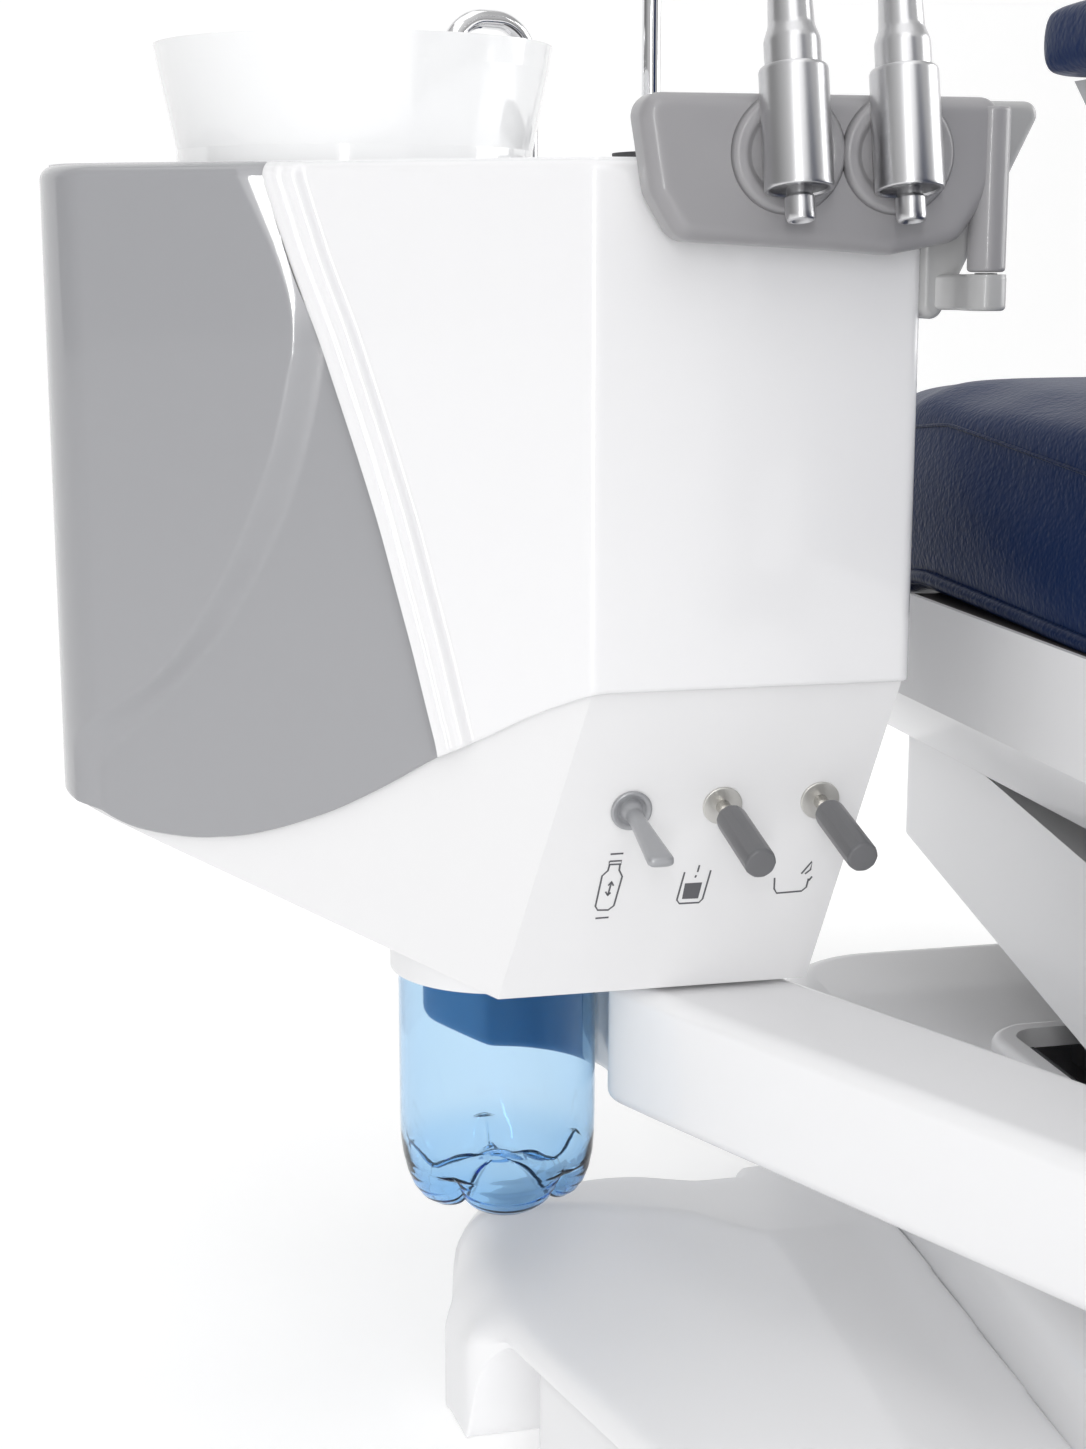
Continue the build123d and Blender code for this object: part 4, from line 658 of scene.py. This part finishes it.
def wall_sheet(name, p_low, p_high, base, relief, columns, rows):
    """Casing wall: path runs p_low..p_high across, height base..deck up, pushed out by relief.
    Its lower edge turns in by 3 mm and its upper edge is rounded by 7 mm onto the deck."""
    u, v = np.linspace(0, 1, columns)[None, :], np.linspace(0, 1, rows)[:, None]
    p = p_low(v) + (p_high(v) - p_low(v)) * u
    foot = base(p[:1])
    z = foot + (deck_z - roof_r - foot) * v
    xy, normal = on_casing(p)
    out = relief(side_run(xy), z, p)
    wall = np.concatenate([xy + normal * out[..., None], z[..., None]], -1)
    low_xy, low_n, low_z, low_out = xy[:1], normal[:1], z[:1], out[:1]
    inner = [np.concatenate([low_xy + low_n * (low_out - d)[..., None], (low_z + h)[..., None]], -1)
             for d, h in ((0.0030, 0.012), (0.0030, 0.0003), (0.0022, -0.0006), (0.0006, -0.0006))]
    top_xy, top_n, top_out = xy[-1:], normal[-1:], out[-1:]
    turn = np.linspace(0, np.pi / 2, 7)[1:, None, None]
    over_xy = top_xy + top_n * (top_out[..., None] * np.cos(turn) - roof_r * (1 - np.cos(turn)))
    over_z = np.broadcast_to(deck_z - roof_r + roof_r * np.sin(turn), over_xy.shape[:2] + (1,))
    over = np.concatenate([over_xy, over_z], -1)
    sunk = np.concatenate([over[-1:, :, :2] - top_n * 0.004, over[-1:, :, 2:] - 0.004], -1)
    return grid_mesh(name, np.vstack(inner + [wall, over, sunk]))


def smooth_curve(x, xs, ys):
    """Piecewise-linear curve softened by averaging it over +-8 mm."""
    return sum(np.interp(x + d, xs, ys) for d in np.linspace(-0.008, 0.008, 9)) / 9


def flange_p(v):
    """Path length of the flange at share v of its height, 1.5 mm nearer the corner than its curve."""
    z = flange_z[0] + (deck_z - flange_z[0]) * v
    return corner_p + smooth_curve(z, flange_z, flange_s) - 0.0015


def seam_of(p):
    """Seam height at path length p."""
    xy, _ = on_casing(p)
    return smooth_curve(side_run(xy), seam_s, seam_h)


def edge_relief(s, z, p):
    """Raised double edge, a sum of smooth steps in q, the share of 17.5 mm from the flange: it
    starts 4.6 mm high, rises to 5.2 mm, dips to 3.5 mm, rises to 4.2 mm and falls to the wall."""
    q = (smooth_curve(z, flange_z, flange_s) - (p - corner_p)) / 0.0175
    first = 0.0046 * (1 - step(q, 0.36, 0.56)) - 0.0012 * (1 - step(q, -0.1, 0.10))
    second = 0.0038 * step(q, 0.44, 0.66) * (1 - step(q, 0.80, 1.10))
    valley = 0.0020 * step(q, 0.30, 0.50) * (1 - step(q, 0.50, 0.70))
    return first + second + valley


def panel_relief(s, z, p):
    """Sculpted panel: past the inner crease the face stands 6.5 mm proud, fading to a fifth of
    that at the nose. Towards the front corner a slightly hollow band falls to the outer crease:
    three parts of t ** 1.25 to one of a smooth step, t being the share of the way back up."""
    inner = smooth_curve(z, crease_z, crease_in)
    outer = smooth_curve(z, crease_z, crease_out)
    t = np.clip((s - outer) / np.maximum(inner - outer, 0.004), 0, 1)
    face = 0.0065 * (0.75 * t ** 1.25 + 0.25 * step(t, 0, 1))
    face *= 1 - 0.8 * step(s, 0.245, 0.285)
    return face


unit_front, unit_back, unit_right, unit_corner = 0.050, 0.330, -0.302, -0.456
deck_z, seam_front, roof_r, nose_r = 0.642, 0.405, 0.007, 0.040
side_way = np.array([-math.cos(math.radians(30)), 0.5])
side_out = np.array([-0.5, -math.cos(math.radians(30))])
corner_at = np.array([unit_corner, unit_front])
nose_at = corner_at + side_way * 0.278
casing_corners = [(unit_right, unit_back), (unit_right, unit_front), (unit_corner, unit_front),
                  tuple(nose_at), (-0.645, unit_back)]
pace = 0.0008
casing_line = rounded_outline(casing_corners, (0.026, 0.006, 0.014, nose_r, 0.026), pace)
casing_normal = outward(casing_line)
casing_round = len(casing_line) * pace

# the outline starts by the back right corner and runs down the chair's side, across the front,
# along the slanting side to the nose, and home along the back
corner_p = path_to(corner_at)
seam_s = np.array([-0.26, 0, .028, .057, .074, .102, .127, .153, .174, .200, .221, .238, .256, .300, .40])
seam_h = np.array([.405, .405, .394, .379, .372, .355, .342, .332, .326, .323, .324, .327, .336, .345, .345])
flange_z = np.array([.372, .396, .421, .451, .481, .513, .540, .567, .597, .618, .643])
flange_s = np.array([.074, .080, .086, .094, .102, .112, .121, .130, .142, .149, .157])

back_split = path_to((-0.560, unit_back))
crease_z = np.array([.36, .372, .388, .395, .408, .430, .457, .486, .512, .537, .560, .578, .600, .622, .645])
crease_in = np.array([.262, .262, .235, .224, .208, .192, .175, .162, .152, .146, .141, .142, .149, .160,
                      .172])
crease_out = np.array([.250, .232, .217, .210, .197, .177, .161, .146, .137, .130, .125, .122, .1285, .139,
                       .150])

white_lacquer = painted("white_lacquer", (0.80, 0.798, 0.808), 0.24, 0.7, 0.03, 0.0)
grey_lacquer = painted("grey_lacquer", (0.305, 0.307, 0.322), 0.30, 0.9, 0.03, 0.0)
cover_mesh = wall_sheet("front_cover", lambda v: np.full_like(v, back_split - casing_round), flange_p,
                        seam_of, edge_relief, 620, 150)
piece("front_cover", cover_mesh, white_lacquer, "carrier", ["unit_front_cover"])
panel_mesh = wall_sheet("side_panel", flange_p, lambda v: np.full_like(v, back_split),
                        seam_of, panel_relief, 420, 190)
piece("side_panel", panel_mesh, grey_lacquer, "carrier", ["unit_side_panel"])

# ---------------------------------------------------------------- water unit: lower hull
# A satin white moulding, 3 mm thick, hangs under the casing and narrows to its floor. Its front
# leans in to carry the valves, and a round hole in the floor lets the bottle in.
def convex_block(name, planes):
    """Mesh of the space behind all planes, each given as (outward normal, point)."""
    bm = bmesh.new()
    bmesh.ops.create_cube(bm, size=3.0)
    for normal, spot in planes:
        cut_off(bm, normal, spot)
    bmesh.ops.recalc_face_normals(bm, faces=bm.faces[:])
    mesh = bpy.data.meshes.new(name)
    bm.to_mesh(mesh)
    bm.free()
    return mesh


def soften(obj, width, segments):
    """Round an object's edges of over 25 degrees with a bevel whose flats keep their normals."""
    obj.data.shade_smooth()
    bevel = obj.modifiers.new("rounding", "BEVEL")
    bevel.width = width
    bevel.segments = segments
    bevel.limit_method = "ANGLE"
    bevel.angle_limit = math.radians(25)
    bevel.harden_normals = True


def bored(obj, centre, radius, depth):
    """Apply an object's modifiers with a round upright hole cut through it."""
    bm = bmesh.new()
    bmesh.ops.create_cone(bm, cap_ends=True, segments=96, radius1=radius, radius2=radius,
                          depth=depth, matrix=Matrix.Translation(centre))
    tool_mesh = bpy.data.meshes.new("drill")
    bm.to_mesh(tool_mesh)
    bm.free()
    tool = bpy.data.objects.new("drill", tool_mesh)
    bpy.context.scene.collection.objects.link(tool)
    cut = obj.modifiers.new("hole", "BOOLEAN")
    cut.object = tool
    cut.solver = "EXACT"
    bake(obj)
    bpy.data.objects.remove(tool)


def on_face(x, rise, out):
    """Points by the leaning front face: at x, up its slope by rise, and out from it."""
    return framed(face_root, face_up, face_out, x, rise, out)


def printed(strokes, fills, width=0.00045):
    """Flat bands along each stroke, (x, rise) in mm, mitred at the bends, plus filled shapes."""
    spots, faces, first = [], [], 0
    for stroke in strokes:
        line = np.array(stroke) / 1000
        way = np.gradient(line, axis=0)
        way /= np.linalg.norm(way, axis=1)[:, None]
        side = np.stack([-way[:, 1], way[:, 0]], -1) * width
        spots.append(np.stack([line + side, line - side], 1).reshape(-1, 2))
        faces += (first + 2 * np.arange(len(line) - 1)[:, None] + (0, 1, 3, 2)).tolist()
        first += 2 * len(line)
    for fill in fills:
        spots.append(np.array(fill) / 1000)
        faces.append(list(range(first, first + len(fill))))
        first += len(fill)
    mesh = bpy.data.meshes.new("pictograms")
    mesh.from_pydata(on_face(*np.vstack(spots).T, print_lift), [], faces)
    return mesh


# the walls stand 3.3 mm inside the casing's outline, and rises are counted from z = 350 mm
tilt, set_back, rise_from = math.radians(12.7), 0.0033, 0.350
face_out = np.array([0, -math.cos(tilt), -math.sin(tilt)])
face_up = np.array([0, -math.sin(tilt), math.cos(tilt)])
face_at = np.array([0, unit_front + set_back, seam_front])
face_root = face_at + np.array([0, math.tan(tilt), -1]) * (seam_front - rise_from)
hull_planes = [
    (face_out, face_at),
    ((-0.470, -0.883, -0.085), (corner_at[0] + 0.0018, corner_at[1] + 0.0029, seam_front)),
    ((0.979, 0, -0.202), (unit_right - set_back, 0, seam_front)),
    ((0, 0, -1), (0, 0, 0.2503)),
    ((-0.406, 0, -0.914), (-0.4925, 0, 0.2503)),
    ((0, 1, 0), (0, unit_back - set_back, 0)),
    ((-0.939, 0.345, 0), (-0.688, 0.189, 0)),
    ((0, 0, 1), (0, 0, 0.436)),
    ((0, -1, 0), (0, unit_front + set_back, 0)),
    ((1, 0, 0), (unit_right - set_back, 0, 0)),
    ((*side_out, 0), (corner_at[0] - side_out[0] * set_back, corner_at[1] - side_out[1] * set_back, 0)),
]
# the nose is rounded like the casing's, by planes that touch an arc just inside it
half_corner = math.radians(50.1)
nose_mid = nose_at - side_out * nose_r - side_way * nose_r / math.tan(half_corner)
for bearing in (225, 205, 185, 168):
    heading = np.array([math.cos(math.radians(bearing)), math.sin(math.radians(bearing))])
    hull_planes.append(((*heading, 0), (*(nose_mid + heading * (nose_r - set_back)), 0)))
# painted shade: the satin white of satin_white, darkened to stand for the shade on the downward-facing hull
shaded_hull_white = painted("shaded_hull_white", (0.77, 0.768, 0.775), 0.36, 0.25, 0.05, 0.02)
hull = piece("lower_hull", convex_block("lower_hull", hull_planes), shaded_hull_white, "carrier",
             ["unit_hull"])
soften(hull, 0.019, 8)
bored(hull, (*bottle_at, 0.25), 0.0540, 0.12)

# The three pictograms are printed below the valves in thin dark lines: a bottle between two
# bars with a double arrow, a filled tumbler under a jet, and a rinsing bowl with its spout.
print_lift = 0.00012

bottle_sign = [
    [(-441.7, -31.1), (-435.8, -31.1), (-436.0, -32.9), (-441.9, -32.8), (-441.7, -31.1)],
    [(-441.6, -32.8), (-442.2, -36.0), (-444.9, -38.6), (-447.2, -54.8), (-446.0, -56.9),
     (-440.8, -57.2), (-438.1, -55.0), (-435.0, -39.5), (-436.7, -36.1), (-436.5, -33.1)],
    [(-441.5, -27.3), (-435.2, -27.3)],
    [(-446.8, -61.3), (-440.3, -61.2)],
    [(-440.0, -42.0), (-441.5, -49.4)],
    [(-441.6, -44.0), (-440.0, -42.0), (-439.0, -44.3)],
    [(-442.7, -47.2), (-441.5, -49.4), (-440.2, -47.8)],
]
cup_sign = [
    [(-404.2, -39.3), (-407.0, -54.2), (-405.6, -56.2), (-395.8, -56.3), (-394.1, -54.4),
     (-391.2, -39.1)],
    [(-397.1, -36.0), (-397.8, -39.7)],
    [(-398.3, -41.3), (-398.8, -42.6)],
]
cup_fill = [(-403.6, -45.4), (-404.5, -53.8), (-396.4, -54.0), (-395.0, -45.4)]
bowl_sign = [
    [(-358.6, -45.4), (-358.3, -51.4), (-356.8, -53.9), (-344.2, -53.6), (-341.9, -51.6),
     (-341.3, -47.0)],
    [(-345.2, -44.1), (-340.4, -37.7), (-340.7, -42.1), (-343.3, -44.3)],
    [(-341.0, -48.1), (-339.5, -45.9)],
]
sign_ink = plain_material("sign_ink", (0.10, 0.10, 0.11), 0.5)
piece("pictograms", printed(bottle_sign + cup_sign + bowl_sign, [cup_fill]), sign_ink, "carrier")

# ---------------------------------------------------------------- water unit: valves
# Two grooved dark grey knobs turn polished stems in nickel discs. The bottle's air valve has a
# satin lever instead: a ball in a dished disc, with a neck that widens into a flat paddle.
def corner_run(points, radius, n=5):
    """(r, h) profile with its inner corners rounded: each becomes n points of a quadratic curve
    that leaves the straight runs up to radius away from the corner and is drawn towards it."""
    pts = [np.array(p, float) for p in points]
    out = [pts[0]]
    for a, p, b in zip(pts, pts[1:], pts[2:]):
        da, db = a - p, b - p
        r = min(radius, 0.45 * np.linalg.norm(da), 0.45 * np.linalg.norm(db))
        p0, p2 = p + da / np.linalg.norm(da) * r, p + db / np.linalg.norm(db) * r
        out += [(1 - t) ** 2 * p0 + 2 * t * (1 - t) * p + t * t * p2 for t in np.linspace(0, 1, n)]
    return np.array(out + [pts[-1]])


def facets(angle, height):
    """Radius factor of a ten-sided grip: 1 less 0.022 |sin 5 angle| ** 0.6, at every height."""
    return 1 - 0.022 * np.abs(np.sin(5 * angle)) ** 0.6 + 0 * height


valve_xs = {"bottle_lever": -0.4330, "cup_knob": -0.3885, "bowl_knob": -0.3400}
valve_rise = -0.0046
nickel = painted("nickel", (0.74, 0.72, 0.69), 0.20, 0.0, 0.05, 0.02, 1.0)
satin_nickel = painted("satin_nickel", (0.66, 0.65, 0.62), 0.38, 0.0, 0.04, 0.02, 1.0)
knob_grey = painted("knob_grey", (0.130, 0.131, 0.138), 0.38, 0.1, 0.04, 0.05)
lever_grey = painted("lever_grey", (0.36, 0.365, 0.38), 0.30, 0.3, 0.04, 0.02, 0.35)
disc_profile = corner_run([(0.0038, 0.0), (0.0096, 0.0), (0.0096, 0.0014), (0.0040, 0.0016)], 0.0005)
for name in ("cup_knob", "bowl_knob"):
    root = on_face(valve_xs[name], valve_rise, 0.0)
    stem = corner_run([(0.0035, -0.006), (0.0035, 0.0135), (0.0034, 0.016)], 0.0004)
    grip = corner_run([(0.0040, 0.0130), (0.0062, 0.0130), (0.0073, 0.0150), (0.0074, 0.0600),
                       (0.0066, 0.0612), (0.0010, 0.0614)], 0.0012, 7)
    piece(name + "_barrel", spin_mesh(name, grip, root, face_out, 120, facets, (1, 0, 0)),
          knob_grey, name, [name])
    piece(name + "_shaft", spin_mesh(name, stem, root, face_out), nickel, name,
          [name + "_stem"])
disc_meshes = [spin_mesh("disc", disc_profile, on_face(valve_xs[n], valve_rise, 0.0001), face_out, 72)
               for n in ("cup_knob", "bowl_knob")]

piece("nickel_discs", joined("nickel_discs", disc_meshes), satin_nickel, "carrier", ["knob_discs"])
lever_root = on_face(valve_xs["bottle_lever"], valve_rise, 0.0)
dish = corner_run([(0.0062, 0.0002), (0.0098, 0.0), (0.0101, 0.0014), (0.0092, 0.0022),
                   (0.0074, 0.0016), (0.0064, 0.0008)], 0.0006)
piece("lever_dish", spin_mesh("lever_dish", dish, lever_root, face_out, 72), lever_grey, "carrier",
      ["lever_disc"])
# the lever's cross-section is a superellipse that goes from the ball to the flat paddle
share = np.linspace(0, 1, 60)[:, None]
turn = np.linspace(0, 2 * np.pi, 48, endpoint=False)[None, :]
reach = np.interp(share, [0, .10, .18, .26, .40, .7, .93, .975, 1], [0, 2, 5, 8, 14, 34, 54, 56.4, 57]) / 1000
along = [0, .05, .10, .18, .26, .40, .7, .93, .975, 1]
wide = np.interp(share, along, [5.0, 5.9, 6.0, 5.4, 4.0, 3.8, 5.0, 6.2, 5.6, 3.2]) / 1000
high = np.interp(share, along, [5.0, 5.9, 6.0, 5.2, 3.8, 3.4, 3.0, 2.9, 2.2, 0.9]) / 1000
power = np.interp(share, [0, .25, .5, 1], [1, 1, 0.75, 0.65])
lever_x = np.sign(np.cos(turn)) * np.abs(np.cos(turn)) ** power * wide
lever_y = np.sign(np.sin(turn)) * np.abs(np.sin(turn)) ** power * high
lever_points = framed(lever_root, face_up, face_out, lever_x, lever_y, reach - 0.002)
piece("lever", grid_mesh("lever", lever_points, close_u=True, cap_low=True, cap_high=True),
      lever_grey, "bottle_lever", ["bottle_lever"])

# ---------------------------------------------------------------- clean-water bottle
# A blown bottle of tinted clear plastic, 0.9 to 2.1 mm thick, pushes up through the hull's floor
# onto its cap. It stands on five petals, with deep folds between them.
# Five folds run where cos(2.5 angle + 0.9) is nil: there the foot is lifted by up to 8.5 mm and
# drawn in by up to 8.5 parts in 100.
sides = 240
theta = np.linspace(0, 2 * np.pi, sides, endpoint=False)[None, :]
run_r = np.array([.001, .008, .014, .020, .026, .032, .037, .0415, .0450, .0474, .0490, .0497, .0499])
run_h = np.array([.0180, .0172, .0142, .0100, .0055, .0020, .0016, .0046, .0095, .0160, .0240, .0330, .0430])
low_r, low_h = (np.interp(np.linspace(0, 1, 90), np.linspace(0, 1, 13), run)[:, None]
                for run in (run_r, run_h))
valley = 1 - np.abs(np.cos(2.5 * theta + 0.9)) ** 0.42
under = step(low_r, 0.006, 0.024) * (1 - step(low_h, 0.006, 0.030) * (low_r > 0.034))
fold_h = low_h + 0.0085 * valley * under * (low_r < 0.0485)
fold_r = low_r * (1 - 0.085 * valley * step(low_r, 0.030, 0.042) * (1 - step(low_h, 0.008, 0.034)))
high = corner_run([(.0499, .045), (.0499, .170), (.0440, .191), (.0260, .213), (.0142, .221),
                   (.0140, .2525)], 0.010, 8)
bottle_r = np.vstack([fold_r, np.broadcast_to(high[:, :1], (len(high), sides))])
bottle_h = np.vstack([fold_h, np.broadcast_to(high[:, 1:], (len(high), sides))])
bottle_foot = 0.1268
bottle_points = np.stack([bottle_at[0] + bottle_r * np.cos(theta), bottle_at[1] + bottle_r * np.sin(theta),
                          bottle_foot + bottle_h], -1)
blue_plastic = plain_material("blue_plastic", (0.90, 0.965, 1.0), 0.03)
tree = blue_plastic.node_tree
set_sockets(tree.nodes["Principled BSDF"], Transmission_Weight=1.0, IOR=1.47,
            Specular_Tint=(0.25, 0.45, 0.70, 1))
soak = set_sockets(tree.nodes.new("ShaderNodeVolumeAbsorption"), Color=(0.03, 0.52, 0.90, 1), Density=230)
tree.links.new(soak.outputs[0], tree.nodes["Material Output"].inputs["Volume"])
bottle_mesh = grid_mesh("water_bottle", bottle_points, close_u=True, cap_low=True)
water_bottle = piece("water_bottle", bottle_mesh, blue_plastic, "bottle", ["bottle"])
wall = water_bottle.modifiers.new("wall", "SOLIDIFY")
wall.thickness = 0.0021
wall.offset = -1
# the blown wall is thickest in the petals and thins to 0.9 mm in the straight side
wall_share = 0.43 + 0.57 * (1 - step(bottle_h.mean(1), 0.012, 0.036))
group = water_bottle.vertex_groups.new(name="wall_share")
for row, weight in enumerate(wall_share):
    group.add(list(range(row * sides, (row + 1) * sides)), float(weight), "REPLACE")
group.add([len(water_bottle.data.vertices) - 1], 1.0, "REPLACE")
wall.vertex_group = "wall_share"

# ---------------------------------------------------------------- assistant's holder
# A grey moulded tray hangs on a swing pin at the unit's front. Two satin aluminium cups stand in
# it with their lower ends leaning out, and each holds a suction handpiece by its sleeve.
def stood_up(mesh):
    """Stand up a tablet whose outline was drawn as (x, z): its height becomes -y."""
    x, up, out = read_points(mesh).T
    mesh.vertices.foreach_set("co", np.column_stack([x, -out, up]).ravel())
    return mesh


tray_grey = painted("tray_grey", (0.29, 0.285, 0.295), 0.36, 0.3, 0.05, 0.03)
aluminium = painted("aluminium", (0.60, 0.60, 0.61), 0.30, 0.0, 0.06, 0.02, 1.0)
cup_up = Vector((0, math.sin(math.radians(12.5)), math.cos(math.radians(12.5))))
tray_line = rounded_outline([(-0.444, 0.668), (-0.437, 0.626), (-0.425, 0.606), (-0.352, 0.602),
                             (-0.327, 0.600), (-0.296, 0.606), (-0.2780, 0.632), (-0.2780, 0.668)],
                            (0.0095, 0.010, 0.012, 0.02, 0.012, 0.012, 0.012, 0.0095), 0.0012)
tray_mesh = stood_up(tablet("holder_tray", tray_line, pillow_profile(-0.045, -0.023, 0.003, 0.007)))
swing_at = (-0.281, 0.030, 0)
boss = corner_run([(0.001, 0.5925), (0.0085, 0.5925), (0.0085, 0.664), (0.001, 0.664)], 0.002)
boss_mesh = spin_mesh("boss", boss, swing_at, (0, 0, 1), 48)
bracket_paint = painted("bracket_paint", (0.40, 0.40, 0.402), 0.34, 0.3, 0.05, 0.03)
wedge = rounded_outline([(-0.304, 0.552), (-0.246, 0.668), (-0.304, 0.668)], (0.006,) * 3, 0.0012)
wedge_mesh = stood_up(tablet("wedge", wedge, pillow_profile(-0.078, -0.049, 0.003, 0.004)))
pin = corner_run([(0.001, 0.580), (0.009, 0.580), (0.009, 0.5915), (0.005, 0.5915), (0.005, 0.5922),
                  (0.001, 0.5922)], 0.0002)
pin_mesh = spin_mesh("pin", pin, swing_at, (0, 0, 1), 48)
hook_line = rounded_outline([(-0.290, 0.021), (-0.272, 0.021), (-0.272, 0.060), (-0.304, 0.078),
                             (-0.304, 0.052), (-0.290, 0.046)],
                            (0.0085, 0.0085, 0.008, 0.004, 0.004, 0.008), 0.0012)
hook_mesh = tablet("hook", hook_line, pillow_profile(0.5755, 0.5915, 0.002, 0.002))
piece("swing_bracket", joined("swing_bracket", [wedge_mesh, pin_mesh, hook_mesh]), bracket_paint,
      "carrier", ["holder_bracket"])
recesses = []
for x in (-0.377, -0.327):
    ring = corner_run([(0.0165, 0.0), (0.0195, 0.0032), (0.0240, 0.0034), (0.0262, 0.0)], 0.0014)
    recesses.append(spin_mesh("ring", ring, (x, 0.0232, 0.643), (0, -1, 0), 64))
piece("holder_tray_shell", joined("holder_tray_shell", [tray_mesh, boss_mesh] + recesses), tray_grey,
      "holder", ["holder_tray"])
for name, body, x in (("outer", "handpiece_outer", -0.377), ("inner", "handpiece_inner", -0.327)):
    foot = Vector((x, 0.008, 0.627))
    cup = corner_run([(0.0128, 0.001), (0.0130, 0.0), (0.0148, 0.0), (0.0150, 0.0012), (0.0150, 0.0505),
                      (0.0146, 0.052), (0.0132, 0.052), (0.0128, 0.0505), (0.0128, 0.001)], 0.0004, 3)
    cup_mesh = spin_mesh("cup", cup, foot, cup_up, 72)
    piece(f"cup_{name}", cup_mesh, aluminium, "holder", [f"holder_cup_{name}"])
    hand = corner_run([(0.0034, -0.012), (0.0046, -0.0135), (0.0060, -0.0130), (0.0065, -0.0110),
                       (0.0065, -0.0030), (0.0056, -0.0022), (0.0056, 0.0150), (0.0118, 0.0200),
                       (0.0122, 0.0220), (0.0122, 0.0640), (0.0100, 0.0700), (0.0092, 0.0900),
                       (0.0100, 0.1350), (0.0078, 0.1560), (0.0048, 0.1650), (0.0004, 0.1655)], 0.0015)
    piece(f"handpiece_{name}_body", spin_mesh("hand", hand, foot, cup_up, 64), aluminium, body,
          [f"suction_{body}"])
